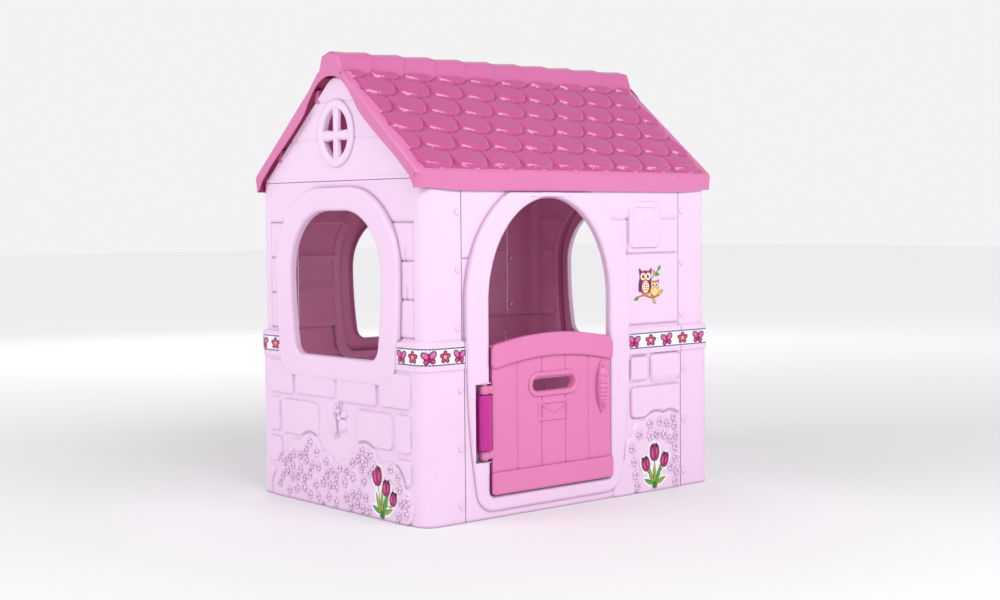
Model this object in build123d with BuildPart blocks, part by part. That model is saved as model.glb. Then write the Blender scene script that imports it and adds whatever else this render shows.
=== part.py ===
from build123d import *
import os
from math import hypot, sqrt

# Toddlers' plastic playhouse, millimetres.
# Frame: origin on the ground under the middle of the house, +Z up,
# +X along the long front, front door on the -Y side.

os.makedirs("parts", exist_ok=True)

# ------------------------------------------------------------------ driving dimensions

SKIN = 3.0                 # moulded thickness of every panel
FIT = 0.4                  # gap between neighbouring panels
TOUCH = 0.05               # gap under stickers and rivet heads
CUT = 60.0                 # reach of a cut that goes right through a panel

# Plan of the walls: half sizes at the outer face of the lower wall.
# Every "out" below is a distance outwards from that face.
WALL_X = 529.0
WALL_Y = 385.0
CORNER_R = 40.0
BELT_OUT = 3.0
UPPER_OUT = -9.0
FRAME_OUT = 8.0            # faces of the door and window frames
LIP_DEPTH = 22.0           # depth of the turned-in edge round each opening

# Heights
BELT_LOW = 393.0
BELT_HIGH = 465.0
WALL_TOP = 878.0
FRAME_TOP = 843.0          # front and back frames stop under the eave
FLANGE = 18.0              # turned-in top and bottom edges of the walls

# Panel joints: side walls wrap the corners, front and back walls run behind them
SEAM_X = 401.0
TAB_ROOT = 25.0
TAB_REACH = 29.0
TAB_HEIGHTS_LOW = (8.0, 388.0)
TAB_HEIGHTS_HIGH = (470.0, 870.0)

# Snap rivets
RIVET_X = 414.0
RIVETS_LOW = (44.0, 191.5, 341.0)
RIVETS_HIGH = (498.0, 646.0, 793.0)
RIVET_SHANK_R = 4.0
RIVET_HOLE_R = 4.3
RIVET_HEAD_R = 9.0
RIVET_HEAD_H = 3.5
RIVET_HEAD_ROUND = 2.5
RIVET_BACK_R = 7.0
RIVET_BACK_H = 2.0

# Doorway in the front wall
DOORWAY_X = -104.0
DOORWAY_HALF = 218.0
DOORWAY_LOW = 61.0
DOORWAY_CORNER = 8.0
ARCH_SPRING = 560.0        # height where both elliptical arches start
DOORWAY_ARCH = 270.0
DOOR_FRAME_HALF = 292.0
DOOR_FRAME_FOOT = 256.0    # half width at the ground end of the frame
DOOR_FRAME_LOW = 20.0
DOOR_FRAME_ARCH = 325.0
DOOR_FRAME_CORNER = 50.0
DOOR_FRAME_BEND = 440.0    # height where the flared sides become upright

# Roof
ROOF_X = 540.0
EAVE_Y = 381.5
EAVE_LOW = 847.0
ROOF_SLOPE = 0.825         # rise over run
ROOF_APEX = 1209.8         # where the two slopes would meet
EAVE_ROUND = 14.0
RAKE_ROUND = 9.0
CAP_FOOT = (55.0, 1164.4)
CAP_SHOULDER = (38.0, 1213.0)
CAP_TOP = 1224.0
RAKE_DEPTH = 46.0
RAKE_ARCH_SIZE = (108.0, 95.0)
RAKE_ARCH_Z = 1060.0
RAKE_ARCH_MEETS_Z = 1100.0
LAP_X = 530.0              # tongue under the ridge that joins the two roof halves
LAP_Y = 26.0
LAP_ROOT = 12.0

# Gables
GABLE_OUT = -9.5
GABLE_LOW = 878.4
GABLE_APEX = 1167.0
GABLE_SLOPE = 0.82
GABLE_LIP = 25.0
GABLE_PEAK_ROUND = 45.0
GABLE_FOOT_ROUND = 6.0
OVAL_Z = 1005.0
OVAL_HOLE = (57.0, 65.0)
OVAL_RING = (85.0, 91.0)
OVAL_OUT = -3.5
BAR_WIDTH = 30.0
BAR_Z = 999.0
BAR_OUT = (-10.5, -4.5)
HOOK_YS = (-275.0, -88.0, 88.0, 275.0)
HOOK_WIDTH = 26.0
HOOK_BITE = 11.0           # how far a roof hook reaches past the gable edge
HOOK_GAP = 0.6
HOOK_X = (503.0, 526.0)
PEG_YS = (-230.0, 0.0, 230.0)
PEG_WIDTH = 40.0
PEG_THICK = 6.5
PEG_DROP = 18.0

# Half door
SLAB_HALF = 213.0
SLAB_LOW = (64.0, 64.0)        # heights of an edge at its ends and in the middle
SLAB_TOP = (446.0, 472.0)
SLAB_CORNER = 4.0
SLAB_OUT = (-11.0, 11.0)
RAIL_HALF = 217.5
RAIL_OUT = (9.5, 18.0)
RAILS = (
    ((386.0, 411.0), (448.0, 474.0)),
    ((62.5, 62.5), (121.0, 121.0)),
)
RAIL_CORNER = 14.0
PLANK_WIDTH = 85.5
GROOVE_WIDTH = 3.0
GROOVE_DEPTH = 1.5
RIB_X = 1.5 * PLANK_WIDTH
SLOT_Z = 337.5
SLOT_SIZE = (152.0, 37.0)
SLOT_RIM = 15.0
SLOT_RIM_OUT = 15.0
SLOT_LIP_OUT = -8.0
GRIP_X = 73.0
GRIP_Z = 315.0
GRIP_SIZE = (21.0, 52.0)
GRIP_BASE = (15.0, 67.0)
GRIP_BASE_OUT = 16.0

# Hinge, on a vertical pin
HINGE_X = -343.0
HINGE_Y = -391.0
PIN_R = 4.0
BORE_R = 4.05
PIN_HEAD_R = 7.5
PIN_HEAD_H = 3.5
PIN_END_GAP = 1.0
SLEEVE_R = 20.0
SLEEVE_Z = (181.0, 324.0)
LUG_HEIGHT = 22.0
LUG_GAP = 1.0
LUG_R = 12.0
ARM_OUT = (-3.0, 11.0)
POCKET_X = (-372.0, -322.0)
POCKET_Z = (150.0, 352.0)
POCKET_OUT = -19.0
FOOT_WIDTH = 18.0
FOOT_Z = (195.0, 310.0)

# Badge on the front wall
BADGE_X = 261.0
BADGE_Z = 754.5
BADGE_SIZE = (122.0, 129.0)
BADGE_ROUND = 18.0
BADGE_OUT = -4.0

# Stickers
FILM = 0.5
STRIP_Z = (407.0, 453.0)
STRIP_FRONT_LEFT = -403.0
STRIP_FRONT_RIGHT = 192.0
STRIP_END = 277.0
STRIP_GAP = 0.3

# Window outlines: low, high, half width, half width at the sill, top round, bottom round
SIDE_HOLE = (409.0, 799.0, 209.0, 188.0, 165.0, 32.0)
SIDE_FRAME = (346.0, 861.0, 281.0, 262.0, 215.0, 50.0)
BACK_HOLE = (421.0, 786.0, 208.0, 192.0, 152.0, 28.0)
BACK_FRAME = (362.0, 861.0, 281.0, 262.0, 215.0, 45.0)

# Sticker outlines: discs (sideways, height, radius) that the cut edge wraps
FRONT_TULIPS = ((245, 85, 26), (286, 115, 28), (330, 82, 25), (285, 38, 25))
SIDE_TULIPS = ((168, 107, 26), (214, 112, 26), (250, 62, 24), (196, 33, 25))
OWLS = ((262, 594, 34), (288, 596, 32), (250, 540, 25), (312, 565, 27), (315, 530, 25))
LADYBIRD = ((307, 515, 25), (338, 510, 40), (368, 512, 24))
SNAIL = ((-210, 65, 40), (-150, 40, 32), (-128, 75, 26), (-226, 34, 26))


# ------------------------------------------------------------------ planes and outlines

def front_plane(out):
    """Plane facing -Y: its x is +X and its y is height."""
    return Plane(origin=(0, -WALL_Y - out, 0), x_dir=(1, 0, 0), z_dir=(0, -1, 0))


def back_plane(out):
    """Plane facing +Y: its x is -X and its y is height."""
    return Plane(origin=(0, WALL_Y + out, 0), x_dir=(-1, 0, 0), z_dir=(0, 1, 0))


def left_plane(out):
    """Plane facing -X: its x is -Y and its y is height."""
    return Plane(origin=(-WALL_X - out, 0, 0), x_dir=(0, -1, 0), z_dir=(-1, 0, 0))


def right_plane(out):
    """Plane facing +X: its x is +Y and its y is height."""
    return Plane(origin=(WALL_X + out, 0, 0), x_dir=(0, 1, 0), z_dir=(1, 0, 0))


def barrel_outline(plane, outline, grow=0.0, ceiling=None):
    """Window shape: flat top with wide rounds, sides drawn in towards the sill."""
    low, high, half, foot_half, top_round, low_round = outline
    side = half + grow
    foot = foot_half + grow
    bottom = low - grow
    top = high + grow
    bend = top_round + grow
    spring = top - bend
    waist = (foot + 0.75 * (side - foot), (bottom + spring) / 2)
    diagonal = bend * sqrt(0.5)
    with BuildSketch(plane) as shape:
        with BuildLine():
            Line((-foot, bottom), (foot, bottom))
            ThreePointArc((foot, bottom), waist, (side, spring))
            ThreePointArc(
                (side, spring),
                (side - bend + diagonal, spring + diagonal),
                (side - bend, top),
            )
            Line((side - bend, top), (bend - side, top))
            ThreePointArc(
                (bend - side, top),
                (bend - side - diagonal, spring + diagonal),
                (-side, spring),
            )
            ThreePointArc((-side, spring), (-waist[0], waist[1]), (-foot, bottom))
        make_face()
        fillet(shape.vertices().group_by(Axis.Y)[0], low_round + grow)
        if ceiling:
            with Locations((0, ceiling + grow)):
                Rectangle(4 * side, 4 * side, align=(Align.CENTER, Align.MIN), mode=Mode.SUBTRACT)
    return shape.sketch


def doorway_outline(plane, grow=0.0):
    """Arched opening with upright sides."""
    half = DOORWAY_HALF + grow
    bottom = DOORWAY_LOW - grow
    with BuildSketch(plane) as shape:
        with Locations((DOORWAY_X, bottom)):
            Rectangle(2 * half, ARCH_SPRING - bottom, align=(Align.CENTER, Align.MIN))
        fillet(shape.vertices().group_by(Axis.Y)[0], DOORWAY_CORNER + grow)
        with Locations((DOORWAY_X, ARCH_SPRING)):
            Ellipse(half, DOORWAY_ARCH + grow)
    return shape.sketch


def door_frame_outline(plane, grow=0.0):
    """Arched frame, flared upwards from its foot and cut flat under the eave."""
    side = DOOR_FRAME_HALF + grow
    foot = DOOR_FRAME_FOOT + grow
    bottom = DOOR_FRAME_LOW - grow
    waist = (foot + 0.75 * (side - foot), (bottom + DOOR_FRAME_BEND) / 2)
    with BuildSketch(plane) as shape:
        with BuildLine():
            Line((DOORWAY_X - foot, bottom), (DOORWAY_X + foot, bottom))
            ThreePointArc(
                (DOORWAY_X + foot, bottom),
                (DOORWAY_X + waist[0], waist[1]),
                (DOORWAY_X + side, DOOR_FRAME_BEND),
            )
            Polyline(
                (DOORWAY_X + side, DOOR_FRAME_BEND),
                (DOORWAY_X + side, ARCH_SPRING),
                (DOORWAY_X - side, ARCH_SPRING),
                (DOORWAY_X - side, DOOR_FRAME_BEND),
            )
            ThreePointArc(
                (DOORWAY_X - side, DOOR_FRAME_BEND),
                (DOORWAY_X - waist[0], waist[1]),
                (DOORWAY_X - foot, bottom),
            )
        make_face()
        fillet(shape.vertices().group_by(Axis.Y)[0], DOOR_FRAME_CORNER + grow)
        with Locations((DOORWAY_X, ARCH_SPRING)):
            Ellipse(side, DOOR_FRAME_ARCH + grow)
        with Locations((DOORWAY_X, FRAME_TOP + grow)):
            Rectangle(2 * side, 2 * side, align=(Align.CENTER, Align.MIN), mode=Mode.SUBTRACT)
    return shape.sketch


def disc_hull(plane, discs):
    """Cut edge of a sticker: the taut outline round a few discs."""
    with BuildSketch(plane) as shape:
        for across, height, radius in discs:
            with Locations((across, height)):
                Circle(radius)
        make_hull()
    return shape.sketch


# ------------------------------------------------------------------ shared solids

def block(xs, ys, zs, mode=Mode.ADD):
    """Box between pairs of coordinates, in the part being built."""
    with Locations((sum(xs) / 2, sum(ys) / 2, sum(zs) / 2)):
        Box(abs(xs[1] - xs[0]), abs(ys[1] - ys[0]), abs(zs[1] - zs[0]), mode=mode)


def band(low, high, outer, inner):
    """Closed ring of wall between two heights and two out distances."""
    with BuildPart() as ring:
        with BuildSketch(Plane.XY.offset(low)):
            RectangleRounded(2 * (WALL_X + outer), 2 * (WALL_Y + outer), CORNER_R + outer)
            RectangleRounded(
                2 * (WALL_X + inner), 2 * (WALL_Y + inner), CORNER_R + inner, mode=Mode.SUBTRACT
            )
        extrude(amount=high - low)
    return ring.part


def wall_ring():
    """All four walls as one ring: lower wall, belt, upper wall and the ledges between."""
    with BuildPart() as ring:
        add(band(0, SKIN, 0, -FLANGE))
        add(band(0, BELT_LOW + SKIN, 0, -SKIN))
        add(band(BELT_LOW, BELT_LOW + SKIN, BELT_OUT, -SKIN))
        add(band(BELT_LOW, BELT_HIGH, BELT_OUT, BELT_OUT - SKIN))
        add(band(BELT_HIGH - SKIN, BELT_HIGH, BELT_OUT, UPPER_OUT - SKIN))
        add(band(BELT_HIGH - SKIN, WALL_TOP, UPPER_OUT, UPPER_OUT - SKIN))
        add(band(WALL_TOP - SKIN, WALL_TOP, UPPER_OUT, UPPER_OUT - FLANGE))
    return ring.part


def seam_tabs(facing):
    """Joggled edges of a front (-1) or back (+1) wall that run behind the side walls."""
    with BuildPart() as tabs:
        for side in (-1, 1):
            for heights, face in ((TAB_HEIGHTS_LOW, 0), (TAB_HEIGHTS_HIGH, UPPER_OUT)):
                back = face - SKIN
                root_xs = (side * (SEAM_X - TAB_ROOT), side * (SEAM_X - FIT / 2))
                reach_xs = (root_xs[0], side * (SEAM_X + TAB_REACH))
                root_ys = (facing * (WALL_Y + back), facing * (WALL_Y + back - FIT - SKIN))
                reach_ys = (facing * (WALL_Y + back - FIT), root_ys[1])
                block(root_xs, root_ys, heights)
                block(reach_xs, reach_ys, heights)
    return tabs.part


def rivet_holes():
    """Rivet shank holes through all four seams."""
    with BuildPart() as holes:
        for height in RIVETS_LOW + RIVETS_HIGH:
            for x in (-RIVET_X, RIVET_X):
                with Locations(Location((x, 0, height), (90, 0, 0))):
                    Cylinder(RIVET_HOLE_R, 2 * WALL_Y + CUT)
    return holes.part


def frame_shell(plane_of, outline_of, hole_of, back_out):
    """Hollow raised frame with a turned-in lip, and the cuts it needs in the wall.

    Returns the solid to add first, the hollow to cut next, the lip and the opening.
    """
    with BuildPart() as face:
        extrude(outline_of(plane_of(back_out), 0.0), amount=FRAME_OUT - back_out)
    with BuildPart() as hollow:
        extrude(outline_of(plane_of(-CUT), -SKIN), amount=CUT + FRAME_OUT - SKIN)
    with BuildPart() as lip:
        extrude(hole_of(plane_of(FRAME_OUT - LIP_DEPTH), SKIN), amount=LIP_DEPTH)
    with BuildPart() as opening:
        extrude(hole_of(plane_of(-CUT), 0.0), amount=2 * CUT)
    return face.part, hollow.part, lip.part, opening.part


def rivet(place):
    """Snap rivet through a seam; its head stands on the plane, its button is behind."""
    stack = 2 * SKIN + FIT + 2 * TOUCH
    with BuildPart(place) as pin:
        Cylinder(RIVET_HEAD_R, RIVET_HEAD_H, align=(Align.CENTER, Align.CENTER, Align.MIN))
        fillet(pin.edges().sort_by(Axis(place.origin, place.z_dir))[-1], RIVET_HEAD_ROUND)
        Cylinder(RIVET_SHANK_R, stack + RIVET_BACK_H, align=(Align.CENTER, Align.CENTER, Align.MAX))
        with Locations((0, 0, -stack)):
            Cylinder(RIVET_BACK_R, RIVET_BACK_H, align=(Align.CENTER, Align.CENTER, Align.MAX))
    return pin.part


def rivet_row(plane_of, across):
    """Six snap rivets down one seam."""
    with BuildPart() as row:
        for heights, face in ((RIVETS_LOW, 0), (RIVETS_HIGH, UPPER_OUT)):
            seat = plane_of(face + TOUCH)
            for height in heights:
                centre = seat.from_local_coords((across, height, 0))
                add(rivet(Plane(origin=centre, x_dir=seat.x_dir, z_dir=seat.z_dir)))
    return row.part


# ------------------------------------------------------------------ walls

RING = wall_ring()
RIVET_HOLES = rivet_holes()
INSIDE = SEAM_X - FIT / 2
OUTSIDE = SEAM_X + FIT / 2
FAR = 2 * WALL_X


with BuildPart() as front_wall:
    add(RING)
    block((-INSIDE, INSIDE), (-FAR, 0), (-1, FAR), mode=Mode.INTERSECT)
    add(seam_tabs(-1))
    face, hollow, lip, opening = frame_shell(
        front_plane, door_frame_outline, doorway_outline, UPPER_OUT - SKIN
    )
    add(face)
    add(hollow, mode=Mode.SUBTRACT)
    add(lip)
    block(
        (POCKET_X[0] - SKIN, POCKET_X[1]),
        (-WALL_Y - FRAME_OUT, -WALL_Y - POCKET_OUT + SKIN),
        (POCKET_Z[0] - SKIN, POCKET_Z[1] + SKIN),
    )
    add(opening, mode=Mode.SUBTRACT)
    block(
        (POCKET_X[0], POCKET_X[1] + CUT),
        (-WALL_Y - CUT, -WALL_Y - POCKET_OUT),
        POCKET_Z,
        mode=Mode.SUBTRACT,
    )
    with BuildSketch(front_plane(UPPER_OUT - SKIN)):
        with Locations((BADGE_X, BADGE_Z)):
            RectangleRounded(*BADGE_SIZE, BADGE_ROUND)
    extrude(amount=BADGE_OUT - UPPER_OUT + SKIN)
    with BuildSketch(front_plane(-CUT)):
        with Locations((BADGE_X, BADGE_Z)):
            RectangleRounded(
                BADGE_SIZE[0] - 2 * SKIN, BADGE_SIZE[1] - 2 * SKIN, BADGE_ROUND - SKIN
            )
    extrude(amount=CUT + BADGE_OUT - SKIN, mode=Mode.SUBTRACT)
    add(RIVET_HOLES, mode=Mode.SUBTRACT)

with BuildPart() as back_wall:
    add(RING)
    block((-INSIDE, INSIDE), (0, FAR), (-1, FAR), mode=Mode.INTERSECT)
    add(seam_tabs(1))
    face, hollow, lip, opening = frame_shell(
        back_plane,
        lambda plane, grow: barrel_outline(plane, BACK_FRAME, grow, FRAME_TOP),
        lambda plane, grow: barrel_outline(plane, BACK_HOLE, grow),
        UPPER_OUT - SKIN,
    )
    add(face)
    add(hollow, mode=Mode.SUBTRACT)
    add(lip)
    add(opening, mode=Mode.SUBTRACT)
    add(RIVET_HOLES, mode=Mode.SUBTRACT)


def side_wall(plane_of, xs):
    """Gable-side wall with its barrel window and both wrapped corners."""
    face, hollow, lip, opening = frame_shell(
        plane_of,
        lambda plane, grow: barrel_outline(plane, SIDE_FRAME, grow),
        lambda plane, grow: barrel_outline(plane, SIDE_HOLE, grow),
        UPPER_OUT - SKIN,
    )
    with BuildPart() as wall:
        add(RING)
        block(xs, (-FAR, FAR), (-1, FAR), mode=Mode.INTERSECT)
        add(face)
        add(hollow, mode=Mode.SUBTRACT)
        add(lip)
        add(opening, mode=Mode.SUBTRACT)
        add(RIVET_HOLES, mode=Mode.SUBTRACT)
    return wall.part


with BuildPart() as left_side_wall:
    add(side_wall(left_plane, (-FAR, -OUTSIDE)))

with BuildPart() as right_side_wall:
    add(side_wall(right_plane, (OUTSIDE, FAR)))


# ------------------------------------------------------------------ gables

def gable_outline(plane, grow=0.0):
    """Triangle with a rounded peak, standing on the top flange of the wall."""
    apex = GABLE_APEX + grow * hypot(1, GABLE_SLOPE)
    low = GABLE_LOW - grow
    half = (apex - low) / GABLE_SLOPE
    with BuildSketch(plane) as shape:
        with BuildLine():
            Polyline((-half, low), (half, low), (0, apex), close=True)
        make_face()
        fillet(shape.vertices().group_by(Axis.Y)[-1], GABLE_PEAK_ROUND + grow)
        fillet(shape.vertices().group_by(Axis.Y)[0], GABLE_FOOT_ROUND + grow)
    return shape.sketch


def gable(plane_of, side):
    """Gable panel: turned-in edges, raised oval window with a cross, pegs and hook notches."""
    back = GABLE_OUT - SKIN
    with BuildPart() as panel:
        extrude(gable_outline(plane_of(GABLE_OUT - GABLE_LIP)), amount=GABLE_LIP)
        extrude(
            gable_outline(plane_of(-CUT), -SKIN), amount=CUT + back, mode=Mode.SUBTRACT
        )
        with BuildSketch(plane_of(back)):
            with Locations((0, OVAL_Z)):
                Ellipse(*OVAL_RING)
        extrude(amount=OVAL_OUT - back)
        with BuildSketch(plane_of(-CUT)):
            with Locations((0, OVAL_Z)):
                Ellipse(OVAL_RING[0] - SKIN, OVAL_RING[1] - SKIN)
        extrude(amount=CUT + OVAL_OUT - SKIN, mode=Mode.SUBTRACT)
        with BuildSketch(plane_of(GABLE_OUT - GABLE_LIP)):
            with Locations((0, OVAL_Z)):
                Ellipse(OVAL_HOLE[0] + SKIN, OVAL_HOLE[1] + SKIN)
        extrude(amount=OVAL_OUT - GABLE_OUT + GABLE_LIP)
        with BuildSketch(plane_of(-CUT)):
            with Locations((0, OVAL_Z)):
                Ellipse(*OVAL_HOLE)
        extrude(amount=2 * CUT, mode=Mode.SUBTRACT)
        with BuildSketch(plane_of(BAR_OUT[0])):
            with Locations((0, OVAL_Z)):
                Ellipse(OVAL_HOLE[0] + SKIN / 2, OVAL_HOLE[1] + SKIN / 2)
            with BuildSketch(mode=Mode.INTERSECT):
                with Locations((0, BAR_Z)):
                    Rectangle(4 * OVAL_HOLE[0], BAR_WIDTH)
                    Rectangle(BAR_WIDTH, 4 * OVAL_HOLE[1])
        extrude(amount=BAR_OUT[1] - BAR_OUT[0])
        for y in HOOK_YS:
            edge = GABLE_APEX - GABLE_SLOPE * abs(y)
            half = HOOK_WIDTH / 2 + HOOK_GAP
            block(
                (side * (HOOK_X[0] - CUT), side * (HOOK_X[1] + CUT)),
                (y - half, y + half),
                (edge - HOOK_BITE - HOOK_GAP, edge + CUT),
                mode=Mode.SUBTRACT,
            )
        peg_face = WALL_X + UPPER_OUT - FLANGE - HOOK_GAP
        for y in PEG_YS:
            block(
                (side * (peg_face - PEG_THICK), side * peg_face),
                (y - PEG_WIDTH / 2, y + PEG_WIDTH / 2),
                (GABLE_LOW - PEG_DROP, GABLE_LOW + SKIN),
            )
    return panel.part


with BuildPart() as left_gable:
    add(gable(left_plane, -1))

with BuildPart() as right_gable:
    add(gable(right_plane, 1))


# ------------------------------------------------------------------ roof

def slope_z(y, drop=0.0):
    """Height of the roof slope, or of a line a vertical drop below it."""
    return ROOF_APEX - drop - ROOF_SLOPE * abs(y)


def roof_block(grow):
    """Prism under both slopes with rounded eaves and rakes; grow = -SKIN gives the hollow."""
    apex = ROOF_APEX + grow * hypot(1, ROOF_SLOPE)
    eave = EAVE_Y + grow
    low = EAVE_LOW if grow == 0 else EAVE_LOW - CUT
    eave_z = apex - ROOF_SLOPE * eave
    with BuildPart() as prism:
        with BuildSketch(Plane.YZ.offset(-ROOF_X - grow)) as section:
            with BuildLine():
                Polyline(
                    (-eave, low), (eave, low), (eave, eave_z), (0, apex), (-eave, eave_z), close=True
                )
            make_face()
            eaves = section.vertices().filter_by(lambda v: abs(v.Y - eave_z) < 1)
            fillet(eaves, EAVE_ROUND + grow)
        extrude(amount=2 * (ROOF_X + grow))
        ends = prism.faces().sort_by(Axis.X)
        rims = ends[0].edges() + ends[-1].edges()
        fillet(rims.filter_by(lambda e: e.center().Z > low + 1), RAKE_ROUND + grow)
    return prism.part


def cap_block(grow):
    """Prism of the ridge cap; grow = -SKIN gives the hollow."""
    rise = CAP_TOP - CAP_SHOULDER[1]
    run = CAP_SHOULDER[0]
    top = CAP_TOP + grow * hypot(rise, run) / run
    foot_y = CAP_FOOT[0] + grow
    shoulder_y = CAP_SHOULDER[0] + grow
    shoulder_z = top - rise * shoulder_y / run
    low = CAP_FOOT[1] - CUT / 3
    with BuildPart() as prism:
        with BuildSketch(Plane.YZ.offset(-ROOF_X - grow)):
            with BuildLine():
                Polyline(
                    (-foot_y, low),
                    (foot_y, low),
                    (foot_y, CAP_FOOT[1]),
                    (shoulder_y, shoulder_z),
                    (0, top),
                    (-shoulder_y, shoulder_z),
                    (-foot_y, CAP_FOOT[1]),
                    close=True,
                )
            make_face()
        extrude(amount=2 * (ROOF_X + grow))
    return prism.part


def roof_shell():
    """Whole roof as one shell, its ends cut to the arched rake line."""
    with BuildPart() as shell:
        add(roof_block(0.0))
        add(cap_block(0.0))
        add(roof_block(-SKIN), mode=Mode.SUBTRACT)
        add(cap_block(-SKIN), mode=Mode.SUBTRACT)
        inner = EAVE_Y - SKIN
        meets_y = (ROOF_APEX - RAKE_DEPTH - RAKE_ARCH_MEETS_Z) / ROOF_SLOPE
        with BuildSketch(Plane.YZ.offset(-ROOF_X - SKIN)):
            with BuildLine():
                Polyline(
                    (-inner, EAVE_LOW - CUT),
                    (inner, EAVE_LOW - CUT),
                    (inner, slope_z(inner, RAKE_DEPTH)),
                    (meets_y, RAKE_ARCH_MEETS_Z),
                    (-meets_y, RAKE_ARCH_MEETS_Z),
                    (-inner, slope_z(inner, RAKE_DEPTH)),
                    close=True,
                )
            make_face()
            with Locations((0, RAKE_ARCH_Z)):
                Ellipse(*RAKE_ARCH_SIZE)
        extrude(amount=2 * (ROOF_X + SKIN), mode=Mode.SUBTRACT)
    return shell.part


def roof_hooks(facing):
    """Hooks under one slope that drop into the notches of both gables."""
    with BuildPart() as hooks:
        for y in HOOK_YS:
            if y * facing > 0:
                edge = GABLE_APEX - GABLE_SLOPE * abs(y)
                inner_y = abs(y) + HOOK_WIDTH / 2
                for side in (-1, 1):
                    block(
                        (side * HOOK_X[0], side * HOOK_X[1]),
                        (y - HOOK_WIDTH / 2, y + HOOK_WIDTH / 2),
                        (edge - HOOK_BITE, slope_z(inner_y, SKIN / 2)),
                    )
    return hooks.part


ROOF = roof_shell()

with BuildPart() as roof_front:
    add(ROOF)
    block((-FAR, FAR), (-FAR, -FIT / 2), (0, 2 * FAR), mode=Mode.INTERSECT)
    add(roof_hooks(-1))
    cap_slope = (CAP_TOP - CAP_SHOULDER[1]) / CAP_SHOULDER[0]
    cap_inner = CAP_TOP - SKIN * hypot(1, cap_slope)
    with BuildSketch(Plane.YZ.offset(-LAP_X)):
        with BuildLine():
            Polyline(
                (-LAP_ROOT, cap_inner - cap_slope * LAP_ROOT + SKIN / 3),
                (-FIT / 2, cap_inner + SKIN / 3),
                (-FIT / 2, cap_inner - FIT),
                (LAP_Y, cap_inner - cap_slope * LAP_Y - FIT),
                (LAP_Y, cap_inner - cap_slope * LAP_Y - FIT - SKIN),
                (0, cap_inner - FIT - SKIN),
                (-LAP_ROOT, cap_inner - cap_slope * LAP_ROOT - SKIN),
                close=True,
            )
        make_face()
    extrude(amount=2 * LAP_X)

with BuildPart() as roof_back:
    add(ROOF)
    block((-FAR, FAR), (FIT / 2, FAR), (0, 2 * FAR), mode=Mode.INTERSECT)
    add(roof_hooks(1))


# ------------------------------------------------------------------ door and hinge

def bowed_edge(start, middle_z, finish):
    """Edge across the door, straight when its middle is level with its ends."""
    if middle_z == start[1]:
        Line(start, finish)
    else:
        ThreePointArc(start, (DOORWAY_X, middle_z), finish)


def door_outline(plane, half, low, high, corner, inset=0.0):
    """Panel centred on the doorway; low and high are its edges' heights (ends, middle)."""
    left = DOORWAY_X - half + inset
    right = DOORWAY_X + half - inset
    foot = (low[0] + inset, low[1] + inset)
    head = (high[0] - inset, high[1] - inset)
    with BuildSketch(plane) as shape:
        with BuildLine():
            bowed_edge((left, foot[0]), foot[1], (right, foot[0]))
            Line((right, foot[0]), (right, head[0]))
            bowed_edge((right, head[0]), head[1], (left, head[0]))
            Line((left, head[0]), (left, foot[0]))
        make_face()
        fillet(shape.vertices(), corner)
    return shape.sketch


def grip(shrink):
    """Egg-shaped hand grip standing out of the planks."""
    centre = Vector(GRIP_X, -WALL_Y - SLAB_OUT[1], GRIP_Z)
    with BuildPart() as egg:
        with BuildSketch(Plane(origin=centre, x_dir=(1, 0, 0), z_dir=(0, -1, 0))):
            Ellipse(GRIP_SIZE[0] - shrink, GRIP_SIZE[1] - shrink)
            Rectangle(
                CUT, 4 * GRIP_SIZE[1], align=(Align.MAX, Align.CENTER), mode=Mode.SUBTRACT
            )
        revolve(axis=Axis(centre, (0, 0, 1)))
        block(
            (-FAR, FAR), (-FAR, -WALL_Y - SLAB_OUT[1] + SKIN / 2), (0, FAR), mode=Mode.INTERSECT
        )
    return egg.part


LUG_LOW_Z = (SLEEVE_Z[0] - LUG_GAP - LUG_HEIGHT, SLEEVE_Z[0] - LUG_GAP)
LUG_HIGH_Z = (SLEEVE_Z[1] + LUG_GAP, SLEEVE_Z[1] + LUG_GAP + LUG_HEIGHT)

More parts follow.
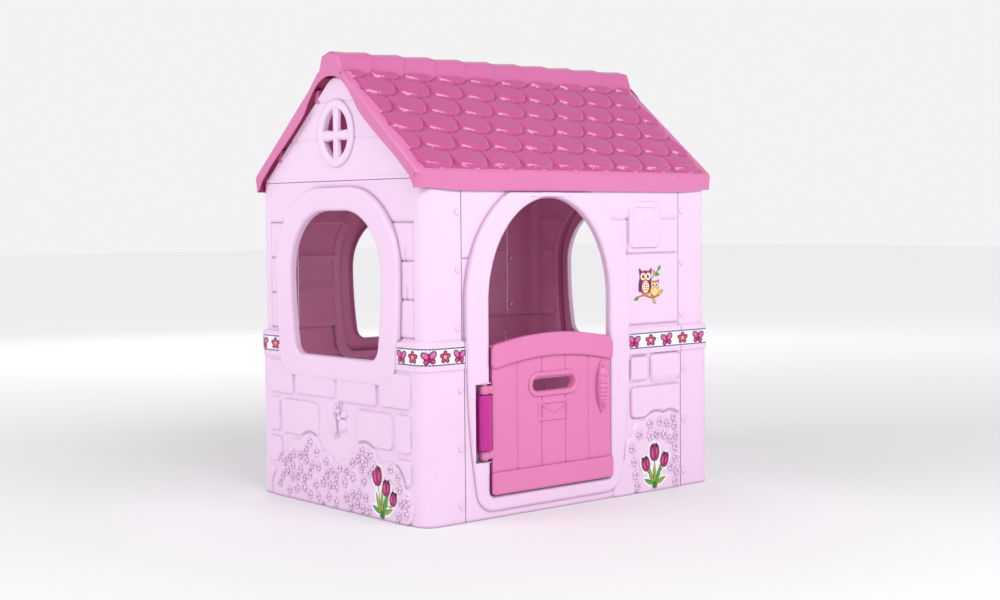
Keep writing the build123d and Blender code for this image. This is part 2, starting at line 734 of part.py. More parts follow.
with BuildPart() as door_panel:
    rail_inset = SKIN + RAIL_HALF - SLAB_HALF
    extrude(
        door_outline(front_plane(SLAB_OUT[0]), SLAB_HALF, SLAB_LOW, SLAB_TOP, SLAB_CORNER),
        amount=SLAB_OUT[1] - SLAB_OUT[0],
    )
    for low, high in RAILS:
        extrude(
            door_outline(front_plane(RAIL_OUT[0]), RAIL_HALF, low, high, RAIL_CORNER),
            amount=RAIL_OUT[1] - RAIL_OUT[0],
        )
    for index in range(-2, 2):
        seam = DOORWAY_X + (index + 0.5) * PLANK_WIDTH
        block(
            (seam - GROOVE_WIDTH / 2, seam + GROOVE_WIDTH / 2),
            (-WALL_Y - SLAB_OUT[1] - 1, -WALL_Y - SLAB_OUT[1] + GROOVE_DEPTH),
            (RAILS[1][1][0] + 1, RAILS[0][0][0]),
            mode=Mode.SUBTRACT,
        )
    extrude(
        door_outline(front_plane(-CUT), SLAB_HALF, SLAB_LOW, SLAB_TOP, SLAB_CORNER - SKIN, SKIN),
        amount=CUT + SLAB_OUT[1] - SKIN,
        mode=Mode.SUBTRACT,
    )
    for low, high in RAILS:
        extrude(
            door_outline(front_plane(0), RAIL_HALF, low, high, SLAB_CORNER - SKIN, rail_inset),
            amount=RAIL_OUT[1] - SKIN,
            mode=Mode.SUBTRACT,
        )
    for x in (DOORWAY_X - RIB_X, DOORWAY_X + RIB_X):
        block(
            (x - SKIN / 2, x + SKIN / 2),
            (-WALL_Y - SLAB_OUT[1] + SKIN, -WALL_Y - SLAB_OUT[0]),
            (SLAB_LOW[0] + SKIN / 2, SLAB_TOP[0]),
        )
    with BuildSketch(front_plane(SLOT_LIP_OUT)):
        with Locations((DOORWAY_X, SLOT_Z)):
            SlotOverall(SLOT_SIZE[0] + 2 * SKIN, SLOT_SIZE[1] + 2 * SKIN)
    extrude(amount=SLAB_OUT[1] - SLOT_LIP_OUT)
    with BuildSketch(front_plane(SLAB_OUT[1] - SKIN / 2)):
        with Locations((DOORWAY_X, SLOT_Z)):
            SlotOverall(SLOT_SIZE[0] + 2 * SLOT_RIM, SLOT_SIZE[1] + 2 * SLOT_RIM)
    extrude(amount=SLOT_RIM_OUT - SLAB_OUT[1] + SKIN / 2)
    with BuildSketch(front_plane(-CUT)):
        with Locations((DOORWAY_X, SLOT_Z)):
            SlotOverall(*SLOT_SIZE)
    extrude(amount=2 * CUT, mode=Mode.SUBTRACT)
    with BuildSketch(front_plane(SLAB_OUT[1] - SKIN / 2)):
        with Locations((GRIP_X, GRIP_Z)):
            Ellipse(*GRIP_BASE)
    extrude(amount=GRIP_BASE_OUT - SLAB_OUT[1] + SKIN / 2)
    add(grip(0.0))
    add(grip(SKIN), mode=Mode.SUBTRACT)
    for lug in (LUG_LOW_Z, LUG_HIGH_Z):
        with Locations((HINGE_X, HINGE_Y, lug[0])):
            Cylinder(LUG_R, LUG_HEIGHT, align=(Align.CENTER, Align.CENTER, Align.MIN))
        block(
            (HINGE_X, DOORWAY_X - SLAB_HALF + SKIN / 2),
            (-WALL_Y - ARM_OUT[1], -WALL_Y - ARM_OUT[0]),
            lug,
        )
        with Locations((HINGE_X, HINGE_Y, lug[0] - 1)):
            Cylinder(
                BORE_R,
                LUG_HEIGHT + 2,
                align=(Align.CENTER, Align.CENTER, Align.MIN),
                mode=Mode.SUBTRACT,
            )

with BuildPart() as hinge_sleeve:
    with Locations((HINGE_X, HINGE_Y, SLEEVE_Z[0])):
        Cylinder(
            SLEEVE_R,
            SLEEVE_Z[1] - SLEEVE_Z[0],
            align=(Align.CENTER, Align.CENTER, Align.MIN),
        )
    block(
        (HINGE_X - FOOT_WIDTH / 2, HINGE_X + FOOT_WIDTH / 2),
        (HINGE_Y, -WALL_Y - POCKET_OUT - TOUCH),
        FOOT_Z,
    )
    with Locations((HINGE_X, HINGE_Y, SLEEVE_Z[0] - 1)):
        Cylinder(
            BORE_R,
            SLEEVE_Z[1] - SLEEVE_Z[0] + 2,
            align=(Align.CENTER, Align.CENTER, Align.MIN),
            mode=Mode.SUBTRACT,
        )

with BuildPart() as hinge_pin:
    pin_low = LUG_LOW_Z[0] - PIN_END_GAP
    pin_high = LUG_HIGH_Z[1] + PIN_END_GAP
    with Locations((HINGE_X, HINGE_Y, pin_low)):
        Cylinder(PIN_R, pin_high - pin_low, align=(Align.CENTER, Align.CENTER, Align.MIN))
        Cylinder(PIN_HEAD_R, PIN_HEAD_H, align=(Align.CENTER, Align.CENTER, Align.MAX))
    with Locations((HINGE_X, HINGE_Y, pin_high)):
        Cylinder(PIN_HEAD_R, PIN_HEAD_H, align=(Align.CENTER, Align.CENTER, Align.MIN))


# ------------------------------------------------------------------ rivets

with BuildPart() as front_left_rivets:
    add(rivet_row(front_plane, -RIVET_X))

with BuildPart() as front_right_rivets:
    add(rivet_row(front_plane, RIVET_X))

with BuildPart() as back_left_rivets:
    add(rivet_row(back_plane, RIVET_X))

with BuildPart() as back_right_rivets:
    add(rivet_row(back_plane, -RIVET_X))


# ------------------------------------------------------------------ stickers

def belt_strip(xs, ys):
    """Printed strip on the belt, cut off where it meets a frame."""
    with BuildPart() as strip:
        add(band(*STRIP_Z, BELT_OUT + STRIP_GAP + FILM, BELT_OUT + STRIP_GAP))
        block(xs, ys, (0, FAR), mode=Mode.INTERSECT)
    return strip.part


def sticker(plane, discs):
    """Flat sticker with a taut cut edge."""
    with BuildPart() as film:
        extrude(disc_hull(plane, discs), amount=FILM)
    return film.part


with BuildPart() as front_left_belt_sticker:
    add(belt_strip((-FAR, STRIP_FRONT_LEFT), (-FAR, -STRIP_END)))

with BuildPart() as front_right_belt_sticker:
    add(belt_strip((STRIP_FRONT_RIGHT, FAR), (-FAR, -STRIP_END)))

with BuildPart() as back_left_belt_sticker:
    add(belt_strip((-FAR, -STRIP_END), (STRIP_END, FAR)))

with BuildPart() as back_right_belt_sticker:
    add(belt_strip((STRIP_END, FAR), (STRIP_END, FAR)))

with BuildPart() as front_tulip_sticker:
    add(sticker(front_plane(TOUCH), FRONT_TULIPS))

with BuildPart() as left_tulip_sticker:
    add(sticker(left_plane(TOUCH), SIDE_TULIPS))

with BuildPart() as right_tulip_sticker:
    add(sticker(right_plane(TOUCH), SIDE_TULIPS))

with BuildPart() as owl_sticker:
    add(sticker(front_plane(UPPER_OUT + TOUCH), OWLS))

with BuildPart() as ladybird_sticker:
    add(sticker(back_plane(UPPER_OUT + TOUCH), tuple((-x, z, r) for x, z, r in LADYBIRD)))

with BuildPart() as snail_sticker:
    add(sticker(back_plane(TOUCH), tuple((-x, z, r) for x, z, r in SNAIL)))


# ------------------------------------------------------------------ files

# The grip stands proud of the front, so the house sits a little back of the middle.
CENTRED = Location((0, (SLAB_OUT[1] + GRIP_SIZE[0] - FRAME_OUT) / 2, 0))

front_wall.part.label = "front_wall"
export_step(CENTRED * front_wall.part, "parts/front_wall.step")

back_wall.part.label = "back_wall"
export_step(CENTRED * back_wall.part, "parts/back_wall.step")

left_side_wall.part.label = "left_side_wall"
export_step(CENTRED * left_side_wall.part, "parts/left_side_wall.step")

right_side_wall.part.label = "right_side_wall"
export_step(CENTRED * right_side_wall.part, "parts/right_side_wall.step")

left_gable.part.label = "left_gable"
export_step(CENTRED * left_gable.part, "parts/left_gable.step")

right_gable.part.label = "right_gable"
export_step(CENTRED * right_gable.part, "parts/right_gable.step")

roof_front.part.label = "roof_front"
export_step(CENTRED * roof_front.part, "parts/roof_front.step")

roof_back.part.label = "roof_back"
export_step(CENTRED * roof_back.part, "parts/roof_back.step")

door_panel.part.label = "door_panel"
export_step(CENTRED * door_panel.part, "parts/door_panel.step")

hinge_sleeve.part.label = "hinge_sleeve"
export_step(CENTRED * hinge_sleeve.part, "parts/hinge_sleeve.step")

hinge_pin.part.label = "hinge_pin"
export_step(CENTRED * hinge_pin.part, "parts/hinge_pin.step")

front_left_rivets.part.label = "front_left_rivets"
export_step(CENTRED * front_left_rivets.part, "parts/front_left_rivets.step")

front_right_rivets.part.label = "front_right_rivets"
export_step(CENTRED * front_right_rivets.part, "parts/front_right_rivets.step")

back_left_rivets.part.label = "back_left_rivets"
export_step(CENTRED * back_left_rivets.part, "parts/back_left_rivets.step")

back_right_rivets.part.label = "back_right_rivets"
export_step(CENTRED * back_right_rivets.part, "parts/back_right_rivets.step")

front_left_belt_sticker.part.label = "front_left_belt_sticker"
export_step(CENTRED * front_left_belt_sticker.part, "parts/front_left_belt_sticker.step")

front_right_belt_sticker.part.label = "front_right_belt_sticker"
export_step(CENTRED * front_right_belt_sticker.part, "parts/front_right_belt_sticker.step")

back_left_belt_sticker.part.label = "back_left_belt_sticker"
export_step(CENTRED * back_left_belt_sticker.part, "parts/back_left_belt_sticker.step")

back_right_belt_sticker.part.label = "back_right_belt_sticker"
export_step(CENTRED * back_right_belt_sticker.part, "parts/back_right_belt_sticker.step")

front_tulip_sticker.part.label = "front_tulip_sticker"
export_step(CENTRED * front_tulip_sticker.part, "parts/front_tulip_sticker.step")

left_tulip_sticker.part.label = "left_tulip_sticker"
export_step(CENTRED * left_tulip_sticker.part, "parts/left_tulip_sticker.step")

right_tulip_sticker.part.label = "right_tulip_sticker"
export_step(CENTRED * right_tulip_sticker.part, "parts/right_tulip_sticker.step")

owl_sticker.part.label = "owl_sticker"
export_step(CENTRED * owl_sticker.part, "parts/owl_sticker.step")

ladybird_sticker.part.label = "ladybird_sticker"
export_step(CENTRED * ladybird_sticker.part, "parts/ladybird_sticker.step")

snail_sticker.part.label = "snail_sticker"
export_step(CENTRED * snail_sticker.part, "parts/snail_sticker.step")
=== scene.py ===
import math
import bpy
import numpy as np
from mathutils import Matrix, Vector
from mathutils.geometry import tessellate_polygon


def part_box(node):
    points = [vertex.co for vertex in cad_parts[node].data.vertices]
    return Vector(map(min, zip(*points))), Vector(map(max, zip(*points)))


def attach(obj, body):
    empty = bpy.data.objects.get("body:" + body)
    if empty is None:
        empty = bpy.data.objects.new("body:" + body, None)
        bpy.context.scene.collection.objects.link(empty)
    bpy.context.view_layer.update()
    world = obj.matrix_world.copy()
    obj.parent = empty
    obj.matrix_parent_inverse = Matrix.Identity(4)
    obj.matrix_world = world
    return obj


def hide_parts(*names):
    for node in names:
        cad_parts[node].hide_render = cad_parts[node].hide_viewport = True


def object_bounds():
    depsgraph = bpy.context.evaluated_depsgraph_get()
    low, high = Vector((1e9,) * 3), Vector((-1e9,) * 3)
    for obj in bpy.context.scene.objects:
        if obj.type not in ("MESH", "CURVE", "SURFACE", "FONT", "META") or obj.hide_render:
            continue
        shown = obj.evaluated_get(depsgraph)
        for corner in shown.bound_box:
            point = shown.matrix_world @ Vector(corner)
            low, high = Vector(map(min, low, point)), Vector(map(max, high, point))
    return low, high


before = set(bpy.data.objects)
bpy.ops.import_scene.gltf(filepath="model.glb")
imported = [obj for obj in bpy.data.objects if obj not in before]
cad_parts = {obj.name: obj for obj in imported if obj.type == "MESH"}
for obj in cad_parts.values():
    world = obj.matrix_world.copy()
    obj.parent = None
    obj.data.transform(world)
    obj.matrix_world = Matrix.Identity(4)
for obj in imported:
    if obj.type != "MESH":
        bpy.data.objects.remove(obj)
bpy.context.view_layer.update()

# Lengths are in millimetres from the middle of the house until a mesh is made, which
# moves them back by HOUSE_Y; "out" is the distance outwards from the lower wall's face.

MM = 0.001
front_low, front_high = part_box("front_wall")
back_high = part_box("back_wall")[1]
left_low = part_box("left_side_wall")[0]
FRAME_FACE = 8.0
WALL_X = -left_low[0] / MM - FRAME_FACE
WALL_Y = (back_high[1] - front_low[1]) / 2 / MM - FRAME_FACE
HOUSE_Y = (back_high[1] + front_low[1]) / 2
CORNER_R = 40.0
SKIN = 3.0
BELT_OUT = 3.0
BELT_FOOT = (391.2, 394.6)
BELT_HEAD = (462.6, 467.2)
UPPER_OUT = -9.0
WALL_TOP = front_high[2] / MM
SEAM = 401.0
SEAM_GAP = 0.9

STRAIGHT_X = WALL_X - CORNER_R
STRAIGHT_Y = WALL_Y - CORNER_R
ARC = CORNER_R * math.pi / 2
ROUND_TRIP = 4 * (STRAIGHT_X + STRAIGHT_Y + ARC)
QUARTER = STRAIGHT_X + ARC + STRAIGHT_Y
CENTRE = {"front": 0.0, "right": QUARTER, "back": 2 * QUARTER, "left": -QUARTER}
SIDE_END = STRAIGHT_Y + ARC + STRAIGHT_X - SEAM


# ------------------------------------------------------------------ small helpers

def ramp(value, low, high):
    """Smooth step from 0 at low to 1 at high."""
    t = np.clip((value - low) / (high - low), 0, 1)
    return t * t * (3 - 2 * t)


def swell(depth, width):
    """Quarter-round profile: 0 at an edge, 1 from width inwards."""
    t = np.clip(depth / width, 0, 1)
    return np.sqrt(1 - (1 - t) ** 2)


def box_inside(u, z, u0, u1, z0, z1, corner):
    """Distance inside a rounded box, negative outside."""
    du = np.abs(u - (u0 + u1) / 2) - (u1 - u0) / 2 + corner
    dz = np.abs(z - (z0 + z1) / 2) - (z1 - z0) / 2 + corner
    outside = np.hypot(np.maximum(du, 0), np.maximum(dz, 0))
    return corner - outside - np.minimum(np.maximum(du, dz), 0)


def oval_inside(u, z, cu, cz, ru, rz, turn=0.0):
    """Rough distance inside a turned ellipse."""
    c, s = math.cos(turn), math.sin(turn)
    a = (u - cu) * c + (z - cz) * s
    b = -(u - cu) * s + (z - cz) * c
    return (1 - np.hypot(a / ru, b / rz)) * min(ru, rz)


def line_gap(u, z, u0, z0, u1, z1):
    """Distance from a straight line piece."""
    du, dz = u1 - u0, z1 - z0
    t = np.clip(((u - u0) * du + (z - z0) * dz) / (du * du + dz * dz), 0, 1)
    return np.hypot(u - u0 - t * du, z - z0 - t * dz)


def groove(u, z, u0, z0, u1, z1, width=3.0, depth=5.0):
    """Soft groove pressed in along a straight line piece."""
    return -depth * np.exp(-(line_gap(u, z, u0, z0, u1, z1) / width) ** 2)


def lines(low, high, coarse, features=(), fine=1.6, growth=0.5):
    """Grid lines from low to high, closer together near each feature."""
    marks = np.array(sorted(features) or [1e9])
    out = [low]
    while out[-1] < high:
        near = np.min(np.abs(marks - out[-1] - fine / 2))
        out.append(out[-1] + min(coarse, fine + growth * near))
    out = np.array(out)
    return low + (out - low) * (high - low) / (out[-1] - low)


def inside_polygon(u, z, polygon):
    """Even-odd test of many points against one polygon."""
    hit = np.zeros(u.shape, bool)
    for (u0, z0), (u1, z1) in zip(polygon, np.roll(polygon, -1, axis=0)):
        if z0 != z1:
            crosses = (z0 > z) != (z1 > z)
            hit ^= crosses & (u < (u1 - u0) * (z - z0) / (z1 - z0) + u0)
    return hit


def circle(count):
    """Angles all the way round, without the last one."""
    return np.linspace(0, 2 * math.pi, count, endpoint=False)


# ------------------------------------------------------------------ walls as one shell

def shell(s, out):
    """Plan position of a point s along the walls and out from the lower wall's face."""
    s, out = np.broadcast_arrays(np.mod(np.asarray(s, float) + STRAIGHT_X, ROUND_TRIP), out)
    x, y = np.zeros(s.shape), np.zeros(s.shape)
    start = 0.0
    sides = (
        ((-STRAIGHT_X, -WALL_Y), (1, 0), (0, -1), 2 * STRAIGHT_X),
        ((WALL_X, -STRAIGHT_Y), (0, 1), (1, 0), 2 * STRAIGHT_Y),
        ((STRAIGHT_X, WALL_Y), (-1, 0), (0, 1), 2 * STRAIGHT_X),
        ((-WALL_X, STRAIGHT_Y), (0, -1), (-1, 0), 2 * STRAIGHT_Y),
    )
    for (px, py), (tx, ty), (nx, ny), length in sides:
        on = (s >= start) & (s < start + length)
        d = s - start
        x = np.where(on, px + tx * d + nx * out, x)
        y = np.where(on, py + ty * d + ny * out, y)
        start += length
        on = (s >= start) & (s < start + ARC)
        a = (s - start) / CORNER_R
        reach = CORNER_R + out
        cx, cy = px + tx * length - nx * CORNER_R, py + ty * length - ny * CORNER_R
        x = np.where(on, cx + (nx * np.cos(a) + tx * np.sin(a)) * reach, x)
        y = np.where(on, cy + (ny * np.cos(a) + ty * np.sin(a)) * reach, y)
        start += ARC
    return x, y


def on_wall(side):
    """Placer for a wall: (u to the right seen from outside, z up, out) to x, y, z."""
    def place(u, z, out):
        x, y = shell(CENTRE[side] + u, out)
        return np.stack(np.broadcast_arrays(x, y, z), -1)
    return place


# ------------------------------------------------------------------ mesh building

class Shape:
    """Vertices and faces collected from several surfaces."""

    def __init__(self):
        self.points, self.faces, self.paints, self.count = [], [], [], 0

    def add(self, points, faces, paint=0):
        self.points.append(np.reshape(points, (-1, 3)))
        faces = np.asarray(faces)
        self.faces.append(faces + self.count)
        self.paints.append(np.full(len(faces), paint))
        self.count += len(self.points[-1])

    def grid(self, points, keep=None, flip=False, paint=0):
        """Quads over a 2-D array of points."""
        rows, columns = points.shape[:2]
        index = np.arange(rows * columns).reshape(rows, columns)
        quads = np.stack([index[:-1, :-1], index[:-1, 1:], index[1:, 1:], index[1:, :-1]], -1)
        paints = np.broadcast_to(paint, quads.shape[:2])
        if keep is not None:
            touched = keep[:-1, :-1] | keep[:-1, 1:] | keep[1:, 1:] | keep[1:, :-1]
            quads, paints = quads[touched], paints[touched]
        quads, paints = quads.reshape(-1, 4), paints.ravel()
        self.add(points, quads[:, ::-1] if flip else quads, paints)

    def loft(self, rings, loop=False, flip=False, paint=0):
        """Closed rings joined one to the next; loop joins the last to the first."""
        rings = [np.vstack([ring, ring[:1]]) for ring in rings]
        if loop:
            rings.append(rings[0])
        self.grid(np.array(rings), flip=flip, paint=paint)

    def fan(self, ring):
        """Flat cap over one closed round ring."""
        count = len(ring)
        points = np.vstack([ring, ring.mean(0)])
        step = np.arange(count)
        faces = np.stack([step, np.roll(step, -1), np.full(count, count)], -1)
        self.add(points, np.hstack([faces, faces[:, 2:]]))

    def fill(self, ring):
        """Flat cap over one closed ring of any shape."""
        triangles = np.array(tessellate_polygon([[Vector(point) for point in ring]]))
        corners = ring[triangles]
        area = np.cross(corners[:, 1] - corners[:, 0], corners[:, 2] - corners[:, 0]).sum(0)
        turn = np.cross(ring - ring.mean(0), np.roll(ring, -1, axis=0) - ring.mean(0)).sum(0)
        if area @ turn < 0:
            triangles = triangles[:, ::-1]
        self.add(ring, np.hstack([triangles, triangles[:, 2:]]))

    def make(self, name, materials, sharp=40.0):
        """Smooth-shaded object, with edges sharper than an angle left crisp.

        A face whose last two corners are the same is a triangle.
        """
        points = np.concatenate(self.points) * MM + (0, HOUSE_Y, 0)
        faces = np.concatenate(self.faces)
        paints = np.concatenate(self.paints)
        used, index = np.unique(faces, return_inverse=True)
        faces = index.reshape(faces.shape)
        mesh = bpy.data.meshes.new(name)
        triangle = faces[:, 2] == faces[:, 3]
        sizes = np.where(triangle, 3, 4)
        keep = np.ones(faces.shape, bool)
        keep[triangle, 3] = False
        mesh.vertices.add(len(used))
        mesh.vertices.foreach_set("co", points[used].astype(np.float32).ravel())
        mesh.loops.add(int(sizes.sum()))
        mesh.loops.foreach_set("vertex_index", faces[keep].astype(np.int32))
        mesh.polygons.add(len(faces))
        starts = np.concatenate([[0], np.cumsum(sizes)[:-1]]).astype(np.int32)
        mesh.polygons.foreach_set("loop_start", starts)
        mesh.polygons.foreach_set("material_index", paints.astype(np.int32))
        mesh.update(calc_edges=True)
        mesh.validate()
        mesh.polygons.foreach_set("use_smooth", np.ones(len(mesh.polygons), bool))
        mesh.set_sharp_from_angle(angle=math.radians(sharp))
        for material in materials:
            mesh.materials.append(material)
        piece = bpy.data.objects.new(name, mesh)
        bpy.context.scene.collection.objects.link(piece)
        return piece


EDGE = ((0.0, 3.0), (0.1, 1.5), (0.5, 0.6), (1.3, 0.1), (2.2, 0.0))


def edged(grid_lines):
    """Adds turned-in edges: returns the lines and how far each drops behind the face."""
    low, high = grid_lines[0], grid_lines[-1]
    middle = grid_lines[(grid_lines > low + 3) & (grid_lines < high - 3)]
    near = np.array([low + inset for inset, _ in EDGE])
    far = np.array([high - inset for inset, _ in EDGE[::-1]])
    drop = np.array([depth for _, depth in EDGE])
    return (
        np.concatenate([near, middle, far]),
        np.concatenate([drop, np.zeros(len(middle)), drop[::-1]]),
    )


def relief(shape, place, us, zs, height, hole, fine_us, split):
    """Panel skin with relief: an outer face with turned edges and a plainer inner face.

    Below the split the grid lines across are the fine ones; the two parts overlap a little.
    """
    z_all, drop_all = edged(zs)
    for lines_u, rows in ((fine_us, z_all < split + 1.5), (us, z_all > split - 1.5)):
        u, drop_u = edged(lines_u)
        z, drop_z = z_all[rows], drop_all[rows]
        uu, zz = np.meshgrid(u, z)
        drop = np.maximum(*np.meshgrid(drop_u, drop_z))
        keep = ~inside_polygon(uu, zz, hole)
        lift = height(uu, zz)
        shape.grid(place(uu, zz, lift - drop), keep)
        # The inner face keeps behind the outer one where the height steps.
        lift[1:-1] = np.minimum(np.minimum(lift[:-2], lift[1:-1]), lift[2:])
        pick = np.ix_(np.union1d(np.arange(0, len(z), 2), len(z) - 1),
                      np.union1d(np.arange(0, len(u), 2), len(u) - 1))
        # The inner face takes the second material, the inside's painted shade.
        shape.grid(place(uu[pick], zz[pick], lift[pick] - SKIN), keep[pick], flip=True, paint=1)


# ------------------------------------------------------------------ outlines

def bend(corner, before, after, radius, count):
    """Points that round a corner between two neighbours."""
    corner, before, after = map(np.asarray, (corner, before, after))
    p0 = corner + (before - corner) / np.hypot(*(before - corner)) * radius
    p3 = corner + (after - corner) / np.hypot(*(after - corner)) * radius
    p1, p2 = p0 + (corner - p0) * 0.56, p3 + (corner - p3) * 0.56
    t = np.linspace(0, 1, count)[:, None]
    return (1 - t) ** 3 * p0 + 3 * t * (1 - t) ** 2 * p1 + 3 * t * t * (1 - t) * p2 + t ** 3 * p3


def arc3(p0, p1, p2, count):
    """Arc through three points, without its first point."""
    (x0, y0), (x1, y1), (x2, y2) = p0, p1, p2
    d = 2 * (x0 * (y1 - y2) + x1 * (y2 - y0) + x2 * (y0 - y1))
    a, b, c = x0 * x0 + y0 * y0, x1 * x1 + y1 * y1, x2 * x2 + y2 * y2
    cx = (a * (y1 - y2) + b * (y2 - y0) + c * (y0 - y1)) / d
    cy = (a * (x2 - x1) + b * (x0 - x2) + c * (x1 - x0)) / d
    t0 = math.atan2(y0 - cy, x0 - cx)
    t2 = math.atan2(y2 - cy, x2 - cx)
    t2 = t0 + (t2 - t0 + math.pi) % (2 * math.pi) - math.pi
    t = np.linspace(t0, t2, count + 1)[1:]
    r = math.hypot(x0 - cx, y0 - cy)
    return np.stack([cx + r * np.cos(t), cy + r * np.sin(t)], -1)


def mirrored(right, ceiling):
    """Whole outline from its right half, cut off level at the ceiling."""
    right[:, 1] = np.minimum(right[:, 1], ceiling)
    return np.vstack([right, right[-2:0:-1] * (-1, 1)])


def level(x0, x1, z, count):
    """Evenly spaced points along a level line."""
    return np.stack([np.linspace(x0, x1, count), np.full(count, z)], -1)


def barrel(low, high, half, foot, top_round, low_round, ceiling=1e9):
    """Window outline, anticlockwise from the middle of the sill."""
    spring = high - top_round
    waist = (foot + 0.75 * (half - foot), (low + spring) / 2)
    corner = bend((foot, low), (0, low), waist, low_round, 9)
    side = arc3(corner[-1], waist, (half, spring), 24)
    side = side[side[:, 1] > corner[-1][1]]
    t = np.linspace(0, math.pi / 2, 26)[1:]
    top = np.stack([half - top_round + top_round * np.cos(t), spring + top_round * np.sin(t)], -1)
    bottom = level(0, corner[0][0], low, 14)[:-1]
    flat = level(half - top_round, 0, high, 7)[1:]
    return mirrored(np.vstack([bottom, corner, side, top, flat]), ceiling)


def archway(centre, low, spring, half, foot, bend_z, arch, low_round, ceiling=1e9):
    """Doorway outline, anticlockwise from the middle of the threshold."""
    side_mid = (foot + 0.75 * (half - foot), (low + bend_z) / 2)
    corner = bend((foot, low), (0, low), side_mid if foot != half else (foot, spring), low_round, 9)
    if foot == half:
        rise = np.linspace(corner[-1][1], spring, 30)[1:]
        side = np.stack([np.full(29, half), rise], -1)
    else:
        flare = arc3(corner[-1], side_mid, (half, bend_z), 20)
        upright = np.stack([np.full(9, half), np.linspace(bend_z, spring, 10)[1:]], -1)
        side = np.vstack([flare, upright])
    t = np.linspace(0, math.pi / 2, 46)[1:]
    top = np.stack([half * np.cos(t), spring + arch * np.sin(t)], -1)
    bottom = level(0, corner[0][0], low, 14)[:-1]
    return mirrored(np.vstack([bottom, corner, side, top]), ceiling) + (centre, 0)


def oval(cu, cz, ru, rz):
    """Upright ellipse, anticlockwise from its lowest point."""
    t = circle(72)
    return np.stack([cu + ru * np.sin(t), cz - rz * np.cos(t)], -1)


def slot_shape(cu, cz, width, height):
    """Slot with round ends, anticlockwise."""
    r = height / 2
    t = np.linspace(-math.pi / 2, math.pi / 2, 16)
    right = np.stack([cu + width / 2 - r + r * np.cos(t), cz + r * np.sin(t)], -1)
    left = np.stack([cu - width / 2 + r - r * np.cos(t), cz - r * np.sin(t)], -1)
    return np.vstack([right, left])


def grow(outline, distance):
    """Outline moved along its own normals."""
    tangent = np.roll(outline, -1, axis=0) - np.roll(outline, 1, axis=0)
    normal = np.stack([tangent[:, 1], -tangent[:, 0]], -1)
    return outline + normal / np.linalg.norm(normal, axis=1, keepdims=True) * distance


def section(place, ring, out):
    """Closed outline laid on a wall at one distance out."""
    return place(ring[:, 0], ring[:, 1], np.full(len(ring), float(out)))


def nested(place, outline, sections):
    """Rings inside an outline, one for each (inset, out)."""
    return [section(place, grow(outline, -inset), out) for inset, out in sections]


FRAME_PROFILE = (
    ("outer", 0.0, -13.0), ("outer", 0.0, 1.6), ("outer", -0.8, 4.4), ("outer", -2.8, 6.7),
    ("outer", -6.0, 7.9), ("outer", -10.0, 8.0), ("between", 0.5, 8.0), ("inner", 15.0, 8.0),
    ("inner", 9.5, 7.6), ("inner", 5.0, 6.3), ("inner", 1.8, 3.8), ("inner", 0.4, 0.8),
    ("inner", 0.0, -3.0), ("inner", 0.0, -13.4), ("inner", 0.6, -14.0), ("inner", 2.6, -14.0),
    ("inner", 3.0, 1.0), ("between", 0.14, 4.8), ("between", 0.65, 4.8), ("between", 0.66, -12.6),
    ("between", 0.68, -14.0), ("between", 0.98, -14.0),
)


def raised_frame(shape, place, outer, inner, profile=FRAME_PROFILE, inside_from=15):
    """Hollow frame round an opening, with soft shoulders and a deep turned-in lip.

    A section stands off the outer or inner outline, or at a share of the way between them.
    The sections from inside_from on face the room and take the second material, the inside's painted
    shade.
    """
    rings = []
    for which, distance, out in profile:
        if which == "outer":
            ring = grow(outer, distance)
        elif which == "inner":
            ring = grow(inner, distance)
        else:
            ring = inner + (outer - inner) * distance
        ring = np.minimum(ring, (np.inf, outer[:, 1].max()))
        rings.append(section(place, ring, out))
    paint = np.zeros((len(rings), 1), int)
    paint[inside_from:] = 1
    shape.loft(rings, loop=True, paint=paint)


# ------------------------------------------------------------------ relief on the walls

def zone(z):
    """Lower wall, belt standing proud, upper wall set back."""
    return BELT_OUT * ramp(z, *BELT_FOOT) + (UPPER_OUT - BELT_OUT) * ramp(z, *BELT_HEAD)


def brick_relief(u, z, bricks, seed, lift=6.4):
    """Hand-cut pillow bricks with soft edges and slightly uneven faces."""
    random = np.random.default_rng(seed)
    total = np.zeros(u.shape)
    for u0, u1, z0, z1 in bricks:
        tilt = random.uniform(-0.012, 0.012, 2)
        lean = random.uniform(-0.02, 0.02)
        skew = u + lean * (z - z0)
        inside = box_inside(skew, z, u0, u1, z0, z1, 13)
        face = lift + tilt[0] * (u - (u0 + u1) / 2) * 0.6 + tilt[1] * (z - (z0 + z1) / 2)
        face = face + 0.35 * np.sin(u / 19 + random.uniform(0, 6)) * np.sin(z / 15)
        crevice = 2.2 * np.exp(-((inside + 1.6) / 1.9) ** 2) * (inside < 3)
        total = np.where(inside > 0, np.maximum(total, swell(inside, 4.6) * face), total - crevice)
    return total


def cloud_inside(u, z, lobes):
    """Distance inside a cloud of discs."""
    best = np.full(u.shape, -1e9)
    for cu, cz, radius in lobes:
        best = np.maximum(best, radius - np.hypot(u - cu, z - cz))
    return best


def bush_relief(u, z, lobes, lift=5.6):
    """Cloud-shaped bush with a soft rim and a crease above each lobe."""
    inside = cloud_inside(u, z, lobes)
    total = swell(inside, 4.5) * lift
    for cu, cz, radius in lobes:
        edge = radius - np.hypot(u - cu, z - cz)
        crease = np.exp(-((edge - 1.0) / 3.0) ** 2) * ramp(inside, 6, 14)
        total -= 1.1 * crease * (z > cz - 0.2 * radius)
    return total


TRIES = 5200


